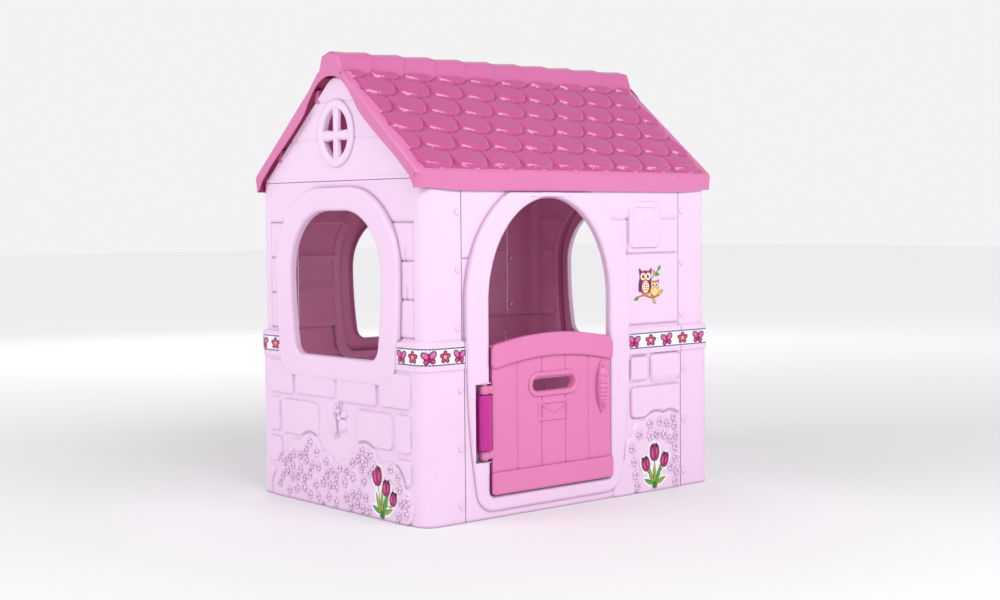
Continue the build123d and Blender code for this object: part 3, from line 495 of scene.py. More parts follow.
def scatter(lobes, seed, radii, gap, reach, clear=()):
    """Places for flowers on a bush: centre, radius and turn, clear of each other."""
    random = np.random.default_rng(seed)
    placed = []
    top = max(cz + radius for _, cz, radius in lobes)
    for _ in range(TRIES):
        cu, cz = random.uniform(*reach), random.uniform(6, top)
        radius, turn = random.uniform(*radii), random.uniform(0, 6.28)
        if cloud_inside(np.array(cu), np.array(cz), lobes) < radius * 0.95 + 3:
            continue
        if cz < radius + 3 or not reach[0] + radius < cu < reach[1] - radius:
            continue
        if any(math.hypot(cu - a, cz - b) < (radius + c) * 0.95 + gap for a, b, c, _ in placed):
            continue
        if any(a - radius < cu < b + radius and c - radius < cz < d + radius for a, b, c, d in clear):
            continue
        placed.append((cu, cz, radius, turn))
    return placed


def add_flowers(shape, place, height, placed):
    """Five domed petals round a button, standing on the relief below them."""
    share = np.array([1.0, 0.93, 0.72, 0.40, 0.02])[:, None]
    around = np.linspace(0, 2 * math.pi, 11)[None, :]
    dome = np.sqrt(1 - share ** 2) * 6.0 - 0.5
    for cu, cz, radius, turn in placed:
        for k in range(6):
            a = turn + k * 2 * math.pi / 5
            petal = k < 5
            middle, reach = (0.57, 0.43) if petal else (0.0, 0.26)
            along, across = share * reach * np.cos(around) + middle, share * reach * np.sin(around)
            u = cu + radius * (along * math.cos(a) - across * math.sin(a))
            z = cz + radius * (along * math.sin(a) + across * math.cos(a))
            shape.grid(place(u, z, height(u, z) + dome * (1 if petal else 1.3)))


def figure_relief(u, z, parts, base=0.0):
    """Overlapping domes: (centre u, centre z, half u, half z, turn, height)."""
    total = np.full(u.shape, base, float)
    for cu, cz, ru, rz, turn, height in parts:
        inside = oval_inside(u, z, cu, cz, ru, rz, turn)
        dome = base + swell(inside, min(ru, rz) * 0.6) * height
        total = np.maximum(total, np.where(inside > 0, dome, -9))
    return total


BLOCK_ROWS = (768, 670, 572, 474)
BRICKS_TOP = 391
BUTTERFLY = (
    (-21, 240, 15, 46, 0.28, 6.4), (-3, 230, 6.5, 30, 0.05, 8.4), (15, 248, 10.5, 9, 0, 7.6),
    (36, 258, 14.5, 11.5, 0.3, 6.8), (28, 227, 21, 18.5, 0.1, 6.8), (11, 264, 8.5, 8.5, 0, 9.0),
    (-7, 269, 9, 13.5, 0.2, 5.8), (11, 283, 3, 7, 0.25, 5.4), (24, 280, 3, 7, -0.35, 5.4),
    (-9, 195, 4, 7, 0, 5.8), (6, 200, 4, 7, 0, 5.8),
)
FROG = (
    (-158, 60, 44, 50, 0, 7.0), (-205, 42, 20, 36, 0.25, 7.5), (-111, 42, 20, 36, -0.25, 7.5),
    (-186, 10, 28, 9, 0, 6.5), (-130, 10, 28, 9, 0, 6.5), (-158, 105, 40, 27, 0, 8.5),
    (-177, 128, 18, 18, 0, 9.5), (-139, 128, 18, 18, 0, 9.5),
)
SIDE_BUSH = (
    (-262, 26, 52), (-232, 78, 52), (-186, 118, 52), (-125, 130, 62), (-60, 88, 62), (-10, 40, 60),
    (32, 74, 58), (78, 112, 46), (132, 132, 60), (190, 96, 52), (238, 88, 66), (286, 44, 54),
    (-150, 40, 90), (120, 40, 100), (220, 30, 80),
)
BACK_BUSH_LEFT = (
    (-330, 42, 40), (-302, 92, 46), (-262, 118, 54), (-204, 138, 46), (-136, 158, 64),
    (-84, 132, 56), (-30, 104, 58), (20, 74, 52), (44, 30, 40), (-210, 60, 92), (-110, 70, 100),
)
BACK_BUSH_RIGHT = (
    (62, 110, 46), (96, 140, 46), (156, 146, 58), (214, 132, 56), (262, 116, 58), (312, 104, 54),
    (338, 52, 46), (180, 60, 100), (270, 50, 80), (90, 60, 70),
)
FRONT_BUSH = (
    (168, 16, 42), (190, 66, 42), (212, 118, 46), (246, 158, 48), (296, 170, 56), (350, 172, 52),
    (396, 160, 48), (260, 80, 90), (340, 80, 100), (390, 60, 90),
)


def side_height(u, z):
    """Gable-side walls: bricks, a flowering bush and a butterfly, block lines above."""
    bricks = (
        (-328, -206, 292, 384), (-194, -6, 296, 380), (6, 184, 292, 380), (196, 328, 294, 384),
        (-328, -274, 184, 278), (-262, -86, 182, 277), (96, 250, 184, 277), (264, 328, 182, 279),
        (-330, -268, 98, 168), (269, 330, 100, 165), (-332, -306, 10, 84), (306, 332, 8, 86),
    )
    inside = cloud_inside(u, z, SIDE_BUSH)
    bush = np.where(inside > 0, np.maximum(bush_relief(u, z, SIDE_BUSH), 0.5), 0)
    lift = brick_relief(u, z, bricks, 3) * (1 - ramp(inside, -9, -3))
    lift = np.maximum(np.maximum(lift, bush), figure_relief(u, z, BUTTERFLY))
    lift = zone(z) + lift * (z < BRICKS_TOP)
    for row in BLOCK_ROWS:
        lift += groove(np.abs(u), z, 200, row, 328, row)
    lift += groove(np.abs(u), z, 328, 474, 328, 768, 2.2, 2.2)
    for tick, z0, z1 in ((296, 670, 702), (300, 572, 604)):
        lift += groove(np.abs(u), z, tick, z0, tick, z1)
    return lift


def back_height(u, z):
    """Back wall: four rows of bricks behind two bushes with a frog."""
    bricks = (
        (-395, -196, 290, 385), (-184, -11, 292, 380), (0, 170, 291, 380), (182, 386, 293, 384),
        (-397, -269, 180, 278), (-255, -110, 182, 276), (-98, 71, 181, 277), (87, 264, 180, 276),
        (281, 384, 182, 280), (-397, -300, 100, 168), (-290, -150, 102, 166), (-60, 60, 100, 168),
        (70, 200, 100, 168), (262, 384, 102, 166), (-397, -360, 10, 88), (354, 384, 10, 88),
    )
    lift = brick_relief(u, z, bricks, 5, 5.4)
    for lobes, rise in ((BACK_BUSH_RIGHT, 4.6), (BACK_BUSH_LEFT, 5.8)):
        inside = cloud_inside(u, z, lobes)
        bush = bush_relief(u, z, lobes, rise)
        lift = np.where(inside > 0, bush, lift * (1 - ramp(inside, -9, -2)))
    frog = figure_relief(u, z, FROG, 5.8)
    reach = figure_relief(u, z, [(a, b, c + 5, d + 5, e, 1) for a, b, c, d, e, _ in FROG])
    lift = np.where(reach > 0, np.where(frog > 5.8, frog, 4.2), lift)
    lift = zone(z) + lift * (z < BRICKS_TOP)
    for row in BLOCK_ROWS:
        lift += groove(np.abs(u), z, 200, row, 392, row)
    pad = box_inside(u, z, -398, -270, 464, 562, 26)
    return lift + 2.2 * swell(pad, 4) * (z > 468)


def front_height(u, z):
    """Front wall right of the door: bricks, a flowering bush, block lines, a badge."""
    bricks = ((195, 262, 316, 386), (275, 394, 314, 388), (197, 394, 214, 300))
    lift = brick_relief(u, z, bricks, 8)
    inside = cloud_inside(u, z, FRONT_BUSH)
    bush = bush_relief(u, z, FRONT_BUSH)
    lift = np.where(inside > 0, bush, lift * (1 - ramp(inside, -9, -2)))
    lift *= 1 - ramp(u, 392, 398)
    lift = zone(z) + lift * (z < BRICKS_TOP)
    for u0, z0, u1, z1 in (
        (110, 770, 197, 770), (197, 770, 197, 673), (197, 673, 394, 673),
        (335, 770, 394, 770), (-401, 673, -380, 673), (190, 474, 394, 474),
    ):
        lift += groove(u, z, u0, z0, u1, z1)
    outer = box_inside(u, z, 200, 322, 690, 819, 20)
    inner = box_inside(u, z, 215, 307, 705, 804, 12)
    lift += 5.0 * swell(outer, 3.5) - 2.6 * swell(inner, 3.5)
    r = np.hypot(u - 261, z - 755)
    a = np.arctan2(z - 755, u - 261) - math.pi / 2
    rim = 31 * (0.68 + 0.32 * np.abs(np.cos(2.5 * a)) ** 0.7)
    lift += 3.0 * swell(rim - r, 9) - 2.2 * np.exp(-((r - 9) / 2.6) ** 2)
    return lift


# ------------------------------------------------------------------ materials

def srgb(red, green, blue):
    """Linear colour from an 8-bit screen colour."""
    out = []
    for channel in (red, green, blue):
        c = channel / 255
        out.append(c / 12.92 if c <= 0.04045 else ((c + 0.055) / 1.055) ** 2.4)
    return (*out, 1.0)


def feed(tree, node, inputs):
    """Sets a node's inputs, each to a plain value or another node's output."""
    for name, value in inputs.items():
        if isinstance(value, bpy.types.NodeSocket):
            tree.links.new(value, node.inputs[name])
        else:
            node.inputs[name].default_value = value


def add_node(tree, kind, inputs):
    """New shader node with its inputs set."""
    node = tree.nodes.new("ShaderNode" + kind)
    feed(tree, node, inputs)
    return node


def noise(tree, where, scale, detail):
    """Soft random value over the object's own space."""
    return add_node(tree, "TexNoise", {"Vector": where, "Scale": scale, "Detail": detail}).outputs["Fac"]


def ranged(tree, value, low, high, to_low=0.0, to_high=1.0):
    """Value carried from one range to another."""
    node = add_node(tree, "MapRange", {
        "Value": value, "From Min": low, "From Max": high, "To Min": to_low, "To Max": to_high,
    })
    return node.outputs["Result"]


def mixed(tree, factor, first, second):
    """Colour between the first and the second."""
    node = tree.nodes.new("ShaderNodeMix")
    node.data_type = "RGBA"
    feed(tree, node, {"Factor": factor, "A": first, "B": second})
    return node.outputs["Result"]


def plastic(name, light, deep, roughness=0.34, grain=0.01, patch=3.0, crease=(0.46, 0.37, 0.48)):
    """Moulded plastic: faint blotches, uneven gloss, orange peel, scuffed edges, and painted shade in deep
    creases.
    """
    light, deep = srgb(*light), srgb(*deep)
    material = bpy.data.materials.new(name)
    material.use_nodes = True
    tree = material.node_tree
    where = add_node(tree, "TexCoord", {}).outputs["Object"]
    colour = mixed(tree, noise(tree, where, patch, 1.5), light, deep)
    edge = add_node(tree, "NewGeometry", {}).outputs["Pointiness"]
    scuffed = tuple(min(1.0, c * 1.12 + 0.03) for c in light[:3]) + (1.0,)
    colour = mixed(tree, ranged(tree, edge, 0.53, 0.62, 0.0, 0.35), colour, scuffed)
    # Painted shade: the colour darkens in creases and hollows that the occlusion node finds, down to the
    # given crease share of itself.
    shade = add_node(tree, "AmbientOcclusion", {"Distance": 0.011})
    shade.samples = 6
    open_air = ranged(tree, shade.outputs["AO"], 0.40, 0.88)
    shaded = (*(c * k for c, k in zip(light, crease)), 1.0)
    colour = mixed(tree, open_air, shaded, colour)
    gloss = noise(tree, where, 16.0, 3.0)
    peel = noise(tree, where, 230.0, 1.5)
    bump = add_node(tree, "Bump", {"Strength": grain, "Distance": 0.001, "Height": peel})
    feed(tree, tree.nodes["Principled BSDF"], {
        "Base Color": colour, "IOR": 1.5, "Normal": bump.outputs["Normal"],
        "Roughness": ranged(tree, gloss, 0.0, 1.0, roughness - 0.02, roughness + 0.03),
    })
    return material


WALL = plastic("wall_plastic", (241, 212, 239), (236, 204, 233), 0.30)
# The inside faces are the wall's own plastic painted darker and deeper pink: painted shade inside the
# house.
SHADED_INSIDE = plastic("wall_inside_shaded_plastic", (226, 156, 196), (218, 144, 186), 0.36)
GABLE = plastic("gable_plastic", (241, 214, 240), (236, 206, 234), 0.34)
# The roof tiles take the plastic's painted shade in their creases, down to (0.75, 0.6, 0.68) of their
# colour.
ROOF = plastic("roof_tile_plastic", (195, 87, 145), (188, 79, 137), 0.20, 0.006, 3.0, (0.75, 0.6, 0.68))
ROOF_EDGE = plastic("roof_edge_plastic", (217, 124, 175), (212, 117, 169), 0.28, 0.006)
# The ridge cap is the roof edge's own plastic painted darker: painted shade on the cap.
ROOF_CAP_SHADED = plastic("roof_cap_shaded_plastic", (207, 110, 163), (202, 103, 157), 0.28, 0.006)
ROOF_UNDER = plastic("roof_inside_plastic", (205, 84, 140), (196, 74, 130), 0.30)
DOOR = plastic("door_plastic", (227, 130, 182), (221, 121, 175), 0.30, 0.006)
SLEEVE = plastic("sleeve_plastic", (198, 34, 150), (186, 22, 138), 0.26, 0.006)
RIVET = plastic("rivet_plastic", (241, 211, 239), (235, 200, 231), 0.34, 0.01, 30.0)
PIN = plastic("pin_plastic", (230, 150, 195), (224, 138, 186), 0.3, 0.01, 30.0)

INKS = {
    "white": (250, 246, 250), "magenta": (166, 14, 104), "deep": (120, 10, 84),
    "pink": (236, 92, 170), "yellow": (250, 205, 60), "orange": (240, 150, 40),
    "green": (96, 172, 44), "dark_green": (40, 120, 40), "violet": (52, 34, 96),
    "lilac": (172, 140, 214), "cream": (252, 232, 200), "black": (34, 22, 34),
}
# Each sticker film takes the plastic's painted shade in its creases, down to 0.85 of its colour.
FILMS = [
    plastic(f"film_{ink}", colour, [max(0, c - 12) for c in colour], 0.3, 0.01, 40.0, (0.85,) * 3)
    for ink, colour in INKS.items()
]


def finish_piece(piece, body, slot, *nodes):
    """Hangs a new piece on what it rides on and hides the parts it stands for; the slot is not used."""
    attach(piece, body)
    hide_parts(*nodes)


# ------------------------------------------------------------------ the four walls

SIDE_HOLE = barrel(409, 799, 209, 188, 165, 32)
SIDE_FRAME = barrel(346, 861, 281, 262, 215, 50)
BACK_HOLE = barrel(421, 786, 208, 192, 152, 28)
BACK_FRAME = barrel(362, 861, 281, 262, 215, 45, 843)
DOORWAY = archway(-104, 61, 560, 218, 218, 440, 270, 10)
DOOR_FRAME = archway(-104, 20, 560, 292, 256, 440, 325, 50, 843)

ROW_MARKS = (182, 278, 293, 383, 393, 464, 474, 572, 670, 768)


def wall_lines(half, marks, fine_low, more_rows=()):
    """Grid lines across and up a wall, and the finer ones for its foot."""
    us = lines(-half, half, 4.0, marks, 1.9)
    fine = lines(-half, half, 2.9)
    low = lines(0, fine_low, 2.9)
    high = lines(fine_low, WALL_TOP, 8.5, ROW_MARKS + more_rows, 1.6)
    return us, fine, np.concatenate([low, high[1:]])


def build_side(side):
    """Wall under a gable, with its window frame and flowering bush."""
    shape = Shape()
    marks = (-328, -268, -200, -90, *range(-44, 56, 7), 96, 190, 257, 328)
    end = SIDE_END - SEAM_GAP
    us, fine, zs = wall_lines(end, marks, 200, tuple(range(202, 292, 6)))
    relief(shape, on_wall(side), us, zs, side_height, grow(SIDE_FRAME, -4.0), fine, 200)
    raised_frame(shape, on_wall(side), SIDE_FRAME, SIDE_HOLE)
    flowers = scatter(SIDE_BUSH, 11, (12.5, 16.0), 0.0, (-end, end), ((168, 262, 0, 122),))
    add_flowers(shape, on_wall(side), side_height, flowers)
    wall = shape.make(f"{side}_side_moulding", [WALL, SHADED_INSIDE])
    finish_piece(wall, "house", "wall", f"{side}_side_wall")


def build_back():
    """Back wall with its window frame and two flowering bushes."""
    shape = Shape()
    marks = (-396, -262, -190, -104, -5, 79, 176, 272, 384)
    us, fine, zs = wall_lines(SEAM - SEAM_GAP, marks, 226)
    relief(shape, on_wall("back"), us, zs, back_height, grow(BACK_FRAME, -4.0), fine, 226)
    raised_frame(shape, on_wall("back"), BACK_FRAME, BACK_HOLE)
    clear = ((-236, -80, 0, 152), (98, 260, 0, 118))
    for lobes, seed in ((BACK_BUSH_RIGHT, 21), (BACK_BUSH_LEFT, 22)):
        flowers = scatter(lobes, seed, (16, 21), 5, (-SEAM, SEAM), clear)
        if lobes is BACK_BUSH_RIGHT:
            flowers = [spot for spot in flowers
                       if cloud_inside(np.array(spot[0]), np.array(spot[1]), BACK_BUSH_LEFT) < -spot[2]]
        add_flowers(shape, on_wall("back"), back_height, flowers)
    wall = shape.make("back_moulding", [WALL, SHADED_INSIDE])
    finish_piece(wall, "house", "wall", "back_wall")


# Hinge notch: left, right, low, high and its floor.
POCKET = (-372.0, -322.0, 150.0, 352.0, -19.0)


def pocket_cut(outer):
    """Box mesh used to cut the hinge notch out of the front frame."""
    shape = Shape()
    u0, u1, z0, z1, _ = POCKET
    ring = np.array([(u0, z0), (u1 + 40, z0), (u1 + 40, z1), (u0, z1)])
    back, face = (section(on_wall("front"), ring, out) for out in (-40.0, outer))
    shape.loft([back, face])
    shape.add(back, [(3, 2, 1, 0)])
    shape.add(face, [(0, 1, 2, 3)])
    return shape.make("pocket_cut", [WALL])


def apply_modifiers(piece):
    """Keeps a piece's evaluated mesh as its own."""
    graph = bpy.context.evaluated_depsgraph_get()
    mesh = bpy.data.meshes.new_from_object(piece.evaluated_get(graph))
    piece.modifiers.clear()
    piece.data = mesh


def line_notch(shape, place):
    """Soft rim, sides and floor of the hinge notch, open towards the doorway."""
    u0, u1, z0, z1, floor = POCKET
    rings = []
    for margin, out in ((3.0, 6.8), (1.2, 8.1), (0.2, 7.7), (0.0, 7.0), (0.0, floor + 1.5), (-1.5, floor)):
        left, low, high = u0 - margin, z0 - margin, z1 + margin
        ring = np.array([(left, low), (u1, low), (u1, high), (left, high)])
        rings.append(section(place, ring, out))
    index = [(k * 4 + a, k * 4 + b, (k + 1) * 4 + b, (k + 1) * 4 + a)
             for k in range(len(rings) - 1) for a, b in ((0, 1), (3, 0), (2, 3))]
    shape.add(np.array(rings), index)
    shape.add(rings[-1], [(0, 1, 2, 3)])


def build_front():
    """Front wall, and apart from it the door frame with the notch cut for the hinge."""
    frame_shape = Shape()
    raised_frame(frame_shape, on_wall("front"), DOOR_FRAME, DOORWAY)
    arch = frame_shape.make("front_frame", [WALL, SHADED_INSIDE])
    cutter = pocket_cut(30.0)
    cut = arch.modifiers.new("notch", "BOOLEAN")
    cut.operation = "DIFFERENCE"
    cut.solver = "EXACT"
    cut.object = cutter
    apply_modifiers(arch)
    bpy.data.objects.remove(cutter)
    arch.data.set_sharp_from_angle(angle=math.radians(40))

    shape = Shape()
    place = on_wall("front")
    marks = (-396, 197, 268, 394, 200, 215, 307, 322)
    us, fine, zs = wall_lines(SEAM - SEAM_GAP, marks, 232)
    zs = lines_with(zs, (690, 705, 804, 819))
    relief(shape, place, us, zs, front_height, grow(DOOR_FRAME, -4.0), fine, 232)
    line_notch(shape, place)
    flowers = scatter(FRONT_BUSH, 31, (12.5, 16.0), 0.0, (180, 394), ((236, 336, 0, 132),))
    flowers = [spot for spot in flowers if not inside_polygon(
        np.array(spot[0]), np.array(spot[1]), grow(DOOR_FRAME, 12.0))]
    add_flowers(shape, place, front_height, flowers)
    wall = shape.make("front_moulding", [WALL, SHADED_INSIDE])
    for piece in (wall, arch):
        finish_piece(piece, "house", "wall", "front_wall")


def lines_with(grid_lines, marks):
    """Grid lines with a few closer ones added round each mark."""
    extra = [mark + 1.7 * k for mark in marks for k in (-2, -1, 0, 1, 2)]
    merged = np.sort(np.concatenate([grid_lines, extra]))
    return merged[np.concatenate([[True], np.diff(merged) > 0.8])]


# ------------------------------------------------------------------ gables

GABLE_FACE = -9.5
GABLE_LOW = 878.6
GABLE_TOP = 1151.4
GABLE_HALF = 340.0
GABLE_SEAMS = (990, 1088)
ROUND_Z = 1004.5
ROUND_PROFILE = (
    ("outer", 0, -12.5), ("outer", 0, -8.6), ("outer", -1.2, -5.6), ("outer", -4.2, -3.8),
    ("outer", -8.0, -3.2), ("between", 0.5, -3.0), ("inner", 7.0, -3.3), ("inner", 3.0, -4.4),
    ("inner", 0.8, -6.6), ("inner", 0, -10), ("inner", 0, -22), ("inner", 3, -22),
    ("inner", 3, -9), ("outer", -4, -9), ("outer", -4, -12.5),
)


def gable_half(z):
    """Half width of the gable at a height, with the rounded peak."""
    straight = (1167.0 - z) / 0.82
    top = 1151.5
    cap = np.sqrt(np.maximum(45.0 ** 2 - (np.minimum(z, top) - (top - 45.0)) ** 2, 0))
    return np.where(z > top - 45 + 45 * 0.773, np.minimum(straight, cap), straight)


def build_gable(side):
    """Planked gable with a rounded peak, a framed round window and its cross bars."""
    shape = Shape()
    base = on_wall(side)
    zs, drop_z = edged(lines(GABLE_LOW, GABLE_TOP, 6.0, (889, *GABLE_SEAMS), 1.6))
    t, drop_t = edged(lines(-GABLE_HALF, GABLE_HALF, 6.0))
    tt, zz = np.meshgrid(t / GABLE_HALF, zs)
    half = np.maximum(gable_half(zz), 4.0)
    uu = tt * half
    drop = np.maximum(*np.meshgrid(drop_t, drop_z))
    lift = GABLE_FACE + 1.6 * (1 - ramp(zz, 887, 891))
    for row in GABLE_SEAMS:
        lift = lift - 2.2 * np.exp(-((zz - row) / 2.4) ** 2)
    edge = (1 - np.abs(tt)) * half
    lift = lift + 1.6 * (1 - ramp(edge, 6, 10)) * (zz > 885)
    keep = ~inside_polygon(uu, zz, oval(0, ROUND_Z, 80, 86))
    shape.grid(base(uu, zz, lift - drop), keep)
    shape.grid(base(uu, zz, lift * 0 + GABLE_FACE - 3), keep, flip=True, paint=1)
    for sign in (-1, 1):
        rows = np.linspace(GABLE_LOW, GABLE_TOP, 40)
        width = sign * np.maximum(gable_half(rows), 4.0)
        strip = [base(width, rows, np.full(40, GABLE_FACE - depth)) for depth in (2.8, 22.0)]
        shape.grid(np.stack(strip, 1), flip=sign < 0)
    outer, inner = oval(0, ROUND_Z, 84, 90), oval(0, ROUND_Z, 57, 65)
    raised_frame(shape, base, outer, inner, ROUND_PROFILE, 12)
    build_cross(shape, base)
    panel = shape.make(f"{side}_gable_moulding", [GABLE, SHADED_INSIDE], 50)
    finish_piece(panel, "house", "gable", f"{side}_gable")


def build_cross(shape, base):
    """Two bars across the round window, wider towards their ends."""
    for flat, reach in ((True, 59.0), (False, 67.0)):
        ss, cc = np.meshgrid(np.linspace(-reach, reach, 30), np.linspace(-1, 1, 13), indexing="ij")
        across = cc * (13.2 + 4.5 * (np.abs(ss) / reach) ** 3)
        out = -5.2 + 1.2 * np.sqrt(np.maximum(0, 1 - (ss / reach) ** 2)) - 6.5 * np.abs(cc) ** 3.5
        out = np.where(np.abs(cc) > 0.99, -15.0, out)
        u, z = (ss, 999.0 + across) if flat else (across, ROUND_Z + ss)
        shape.grid(base(u, z, out), flip=flat)
        shape.grid(base(u, z, out * 0 - 14.5), flip=not flat)


# ------------------------------------------------------------------ roof

ROOF_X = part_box("roof_front")[1][0] / MM
EAVE_Y = 381.5
SLOPE = 0.825
APEX = 1209.8
RUN = math.hypot(1, SLOPE)
EAVE_CORNER_Z = APEX - SLOPE * EAVE_Y
EAVE_R = 15.0
TILE_WIDTH = 114.5
TILE_DEPTH = 43.0
TILE_TIPS = (10.0, 87.0, 164.0, 241.0, 318.0, 395.0)
# Ridge cap: half profile as (y, z), length of one cap tile, its step and the seam's slant.
CAP_PROFILE = np.array([
    (56.5, 1156.0), (56.5, 1166.0), (54.5, 1170.0), (49.5, 1184.0), (44.0, 1200.0), (40.5, 1209.0),
    (37.0, 1213.2), (31.0, 1215.4), (16.0, 1219.8), (6.0, 1222.9), (0.0, 1223.9),
])
CAP_PITCH = 106.4
CAP_STEP = 6.0
CAP_SLANT = 16.0
# Lower edge of the roof's ends as (y, z), from the eave up to the ridge.
VERGE = np.array([
    (358.5, 856.0), (353.0, 867.0), (342.0, 884.0), (288.0, 931.0), (188.0, 1006.0), (140.0, 1045.0),
    (122.0, 1063.0), (104.0, 1089.0), (84.0, 1113.0), (59.0, 1137.0), (36.0, 1149.0), (13.0, 1154.5),
    (0.0, 1155.0),
])


def unit_rows(vectors):
    """Each row scaled to length one."""
    return vectors / np.linalg.norm(vectors, axis=1, keepdims=True)


def normals_along(points):
    """Outward normals of a (y, z) profile that runs up and inwards."""
    gradient = unit_rows(np.gradient(points, axis=0))
    return np.stack([gradient[:, 1], -gradient[:, 0]], -1)


def travelled(points):
    """Distance along a line of points, from its start."""
    return np.concatenate([[0], np.cumsum(np.linalg.norm(np.diff(points, axis=0), axis=1))])


def roof_profile():
    """Half profile from the eave's lower edge to the ridge cap, with normals and distances."""
    turn = math.acos(SLOPE / RUN)
    tangent = EAVE_R * math.tan(turn / 2)
    upright = [(EAVE_Y, z) for z in np.linspace(847, EAVE_CORNER_Z - tangent, 9)]
    centre = (EAVE_Y - EAVE_R, EAVE_CORNER_Z - tangent)
    arc = [(centre[0] + EAVE_R * math.cos(a), centre[1] + EAVE_R * math.sin(a))
           for a in np.linspace(0, turn, 9)[1:]]
    start = arc[-1]
    length = math.hypot(start[0] - 58, start[1] - (APEX - SLOPE * 58))
    marks = [tip - EAVE_R * 0.4 for tip in TILE_TIPS]
    steps = lines(0, length, 4.2, marks, 2.2)[1:]
    slope = [(start[0] - d / RUN, start[1] + d * SLOPE / RUN) for d in steps]
    points = np.array(upright + arc + slope)
    along = (EAVE_Y - points[:, 0]) * RUN
    along[: len(upright)] = -30.0
    return points, normals_along(points), along


def tile_height(x, v):
    """Overlapping scalloped tiles; v is the distance up the slope from the eave corner."""
    total = np.zeros(x.shape)
    field = ramp(516.5 - np.abs(x), 0, 5)
    for row, tip in enumerate(TILE_TIPS):
        shift = 0.0 if row % 2 == 0 else 0.5
        cell = (x / TILE_WIDTH + shift + 0.5) % 1.0 - 0.5
        side = np.clip(np.abs(cell) * 2, 0, 0.999)
        lip = tip + TILE_DEPTH * (1 - np.sqrt(1 - side ** 2))
        steep = TILE_DEPTH * side / np.sqrt(1 - side ** 2) / (TILE_WIDTH / 2)
        depth = (v - lip) / np.sqrt(1 + np.minimum(steep, 6) ** 2)
        body = 9.0 * (1 - ramp(v - tip, 30, 118)) + 2.4
        crown = 2.6 * (1 - side ** 2)
        tile = swell(depth, 15.0) * (body + crown)
        tile += 1.1 * np.exp(-((depth - 19) / 3.5) ** 2) * (depth > 0)
        total = np.where(depth > 0, tile, total)
        total = np.where((depth <= 0) & (depth > -2.5), np.minimum(total, total * 0.55), total)
    return total * field + 1.4 * ramp(np.abs(x), 517, 520) * (v > 8)


def roof_sheet(shape, facing):
    """Tiled face with its rounded ends, the face under it and the strips along its edges."""
    points, normal, along = roof_profile()
    radius = np.where(points[:, 1] < EAVE_CORNER_Z - 8, 20.0, 11.0)
    radius = np.convolve(np.pad(radius, 4, mode="edge"), np.ones(9) / 9, "valid")[:, None]
    xs = lines(-(ROOF_X - 24), ROOF_X - 24, 3.8, (-516, 516), 2.0)
    turn = np.linspace(0, math.pi / 2, 8)
    over = np.concatenate([turn[::-1], np.zeros(len(xs) - 2), turn])
    inner_x = np.concatenate([np.full(8, xs[0]), xs[1:-1], np.full(8, xs[-1])])
    rounded = np.abs(inner_x) >= xs[-1] - 1e-6
    x = np.where(rounded, np.sign(inner_x) * (ROOF_X - radius + radius * np.sin(over)), inner_x)
    drop = radius * (1 - np.cos(over))
    vv = np.broadcast_to(along[:, None], x.shape)
    lift = np.where(vv > 0, tile_height(x, vv), 0.0) * ramp(vv, 2, 14)
    corner = (1 - ramp(516 - np.abs(x), 0, 60)) * (1 - ramp(vv, 12, 60))
    recess = 6.0 * ramp(vv, 14, 46) * ramp(518 - np.abs(x), 0, 3) * (1 - corner)
    lift = lift - drop - recess * (vv > 0)
    y = points[:, :1] + normal[:, :1] * lift
    z = points[:, 1:] + normal[:, 1:] * lift
    raise_low = 7.0 * ramp(np.abs(x), 400, 530) * ramp(-z, -872, -847)
    surface = np.stack([x, facing * y, z + raise_low], -1)
    tiled = (vv > 9) & (np.abs(x) < 517.5)
    shape.grid(surface, flip=facing > 0, paint=np.where(tiled[1:, 1:] & tiled[:-1, :-1], 0, 1))
    under_y = points[:, :1] - normal[:, :1] * (SKIN + 3 + drop)
    under_z = points[:, 1:] - normal[:, 1:] * (SKIN + 3 + drop) + raise_low
    under = np.stack([x * (ROOF_X - 3) / ROOF_X, facing * under_y, under_z], -1)[::3, ::6]
    shape.grid(under, flip=facing < 0, paint=2)
    lip = np.stack([surface[0], surface[0] + (0, -facing * 3.0, 0)], 0)
    shape.grid(lip, flip=facing < 0, paint=1)
    under_cap = np.stack([surface[-1], surface[-1] + (0, -facing * 14.0, 0)], 0)
    shape.grid(under_cap, flip=facing > 0)
    return surface


def ridge_cap(shape, facing):
    """Half of the ridge cap: slanted steps along it and softly rounded ends."""
    normal = normals_along(CAP_PROFILE)
    joints = [CAP_PITCH * k for k in range(-4, 5)]
    marks = joints + [joint - CAP_SLANT for joint in joints]
    xs = lines(-(ROOF_X - 6), ROOF_X - 6, 9.0, marks, 1.5)
    turn = np.linspace(0, math.pi / 2, 6)[1:]
    over = np.concatenate([-turn[::-1], np.zeros(len(xs)), turn])
    x = np.concatenate([np.full(5, xs[0]), xs, np.full(5, xs[-1])]) + 6.0 * np.sin(over)
    away = 6.0 * (1 - np.cos(over))
    rise = (CAP_PROFILE[:, 1:] - 1166.0) / (1213.0 - 1166.0)
    slanted = x[None, :] - CAP_SLANT * np.clip(rise, 0, 1.1) + CAP_SLANT
    phase = np.mod(slanted / CAP_PITCH, 1.0)
    last = CAP_PITCH * 4.5
    step = CAP_STEP * np.where(np.abs(slanted) < last, ramp(phase, 0.0, 0.03) * (1 - phase), 0.6)
    step = np.where(slanted > last, CAP_STEP * (1 - (slanted - CAP_PITCH * 4) / 125), step)
    lift = -step - away[None, :] - 0.2
    y = CAP_PROFILE[:, :1] + normal[:, :1] * lift
    z = CAP_PROFILE[:, 1:] + normal[:, 1:] * lift
    y[-1] = 0.15
    surface = np.stack([np.broadcast_to(x, y.shape), facing * y, z], -1)
    # Paint 3 is the cap's darker colour, painted shade.
    shape.grid(surface, flip=facing > 0, paint=3)
    return surface


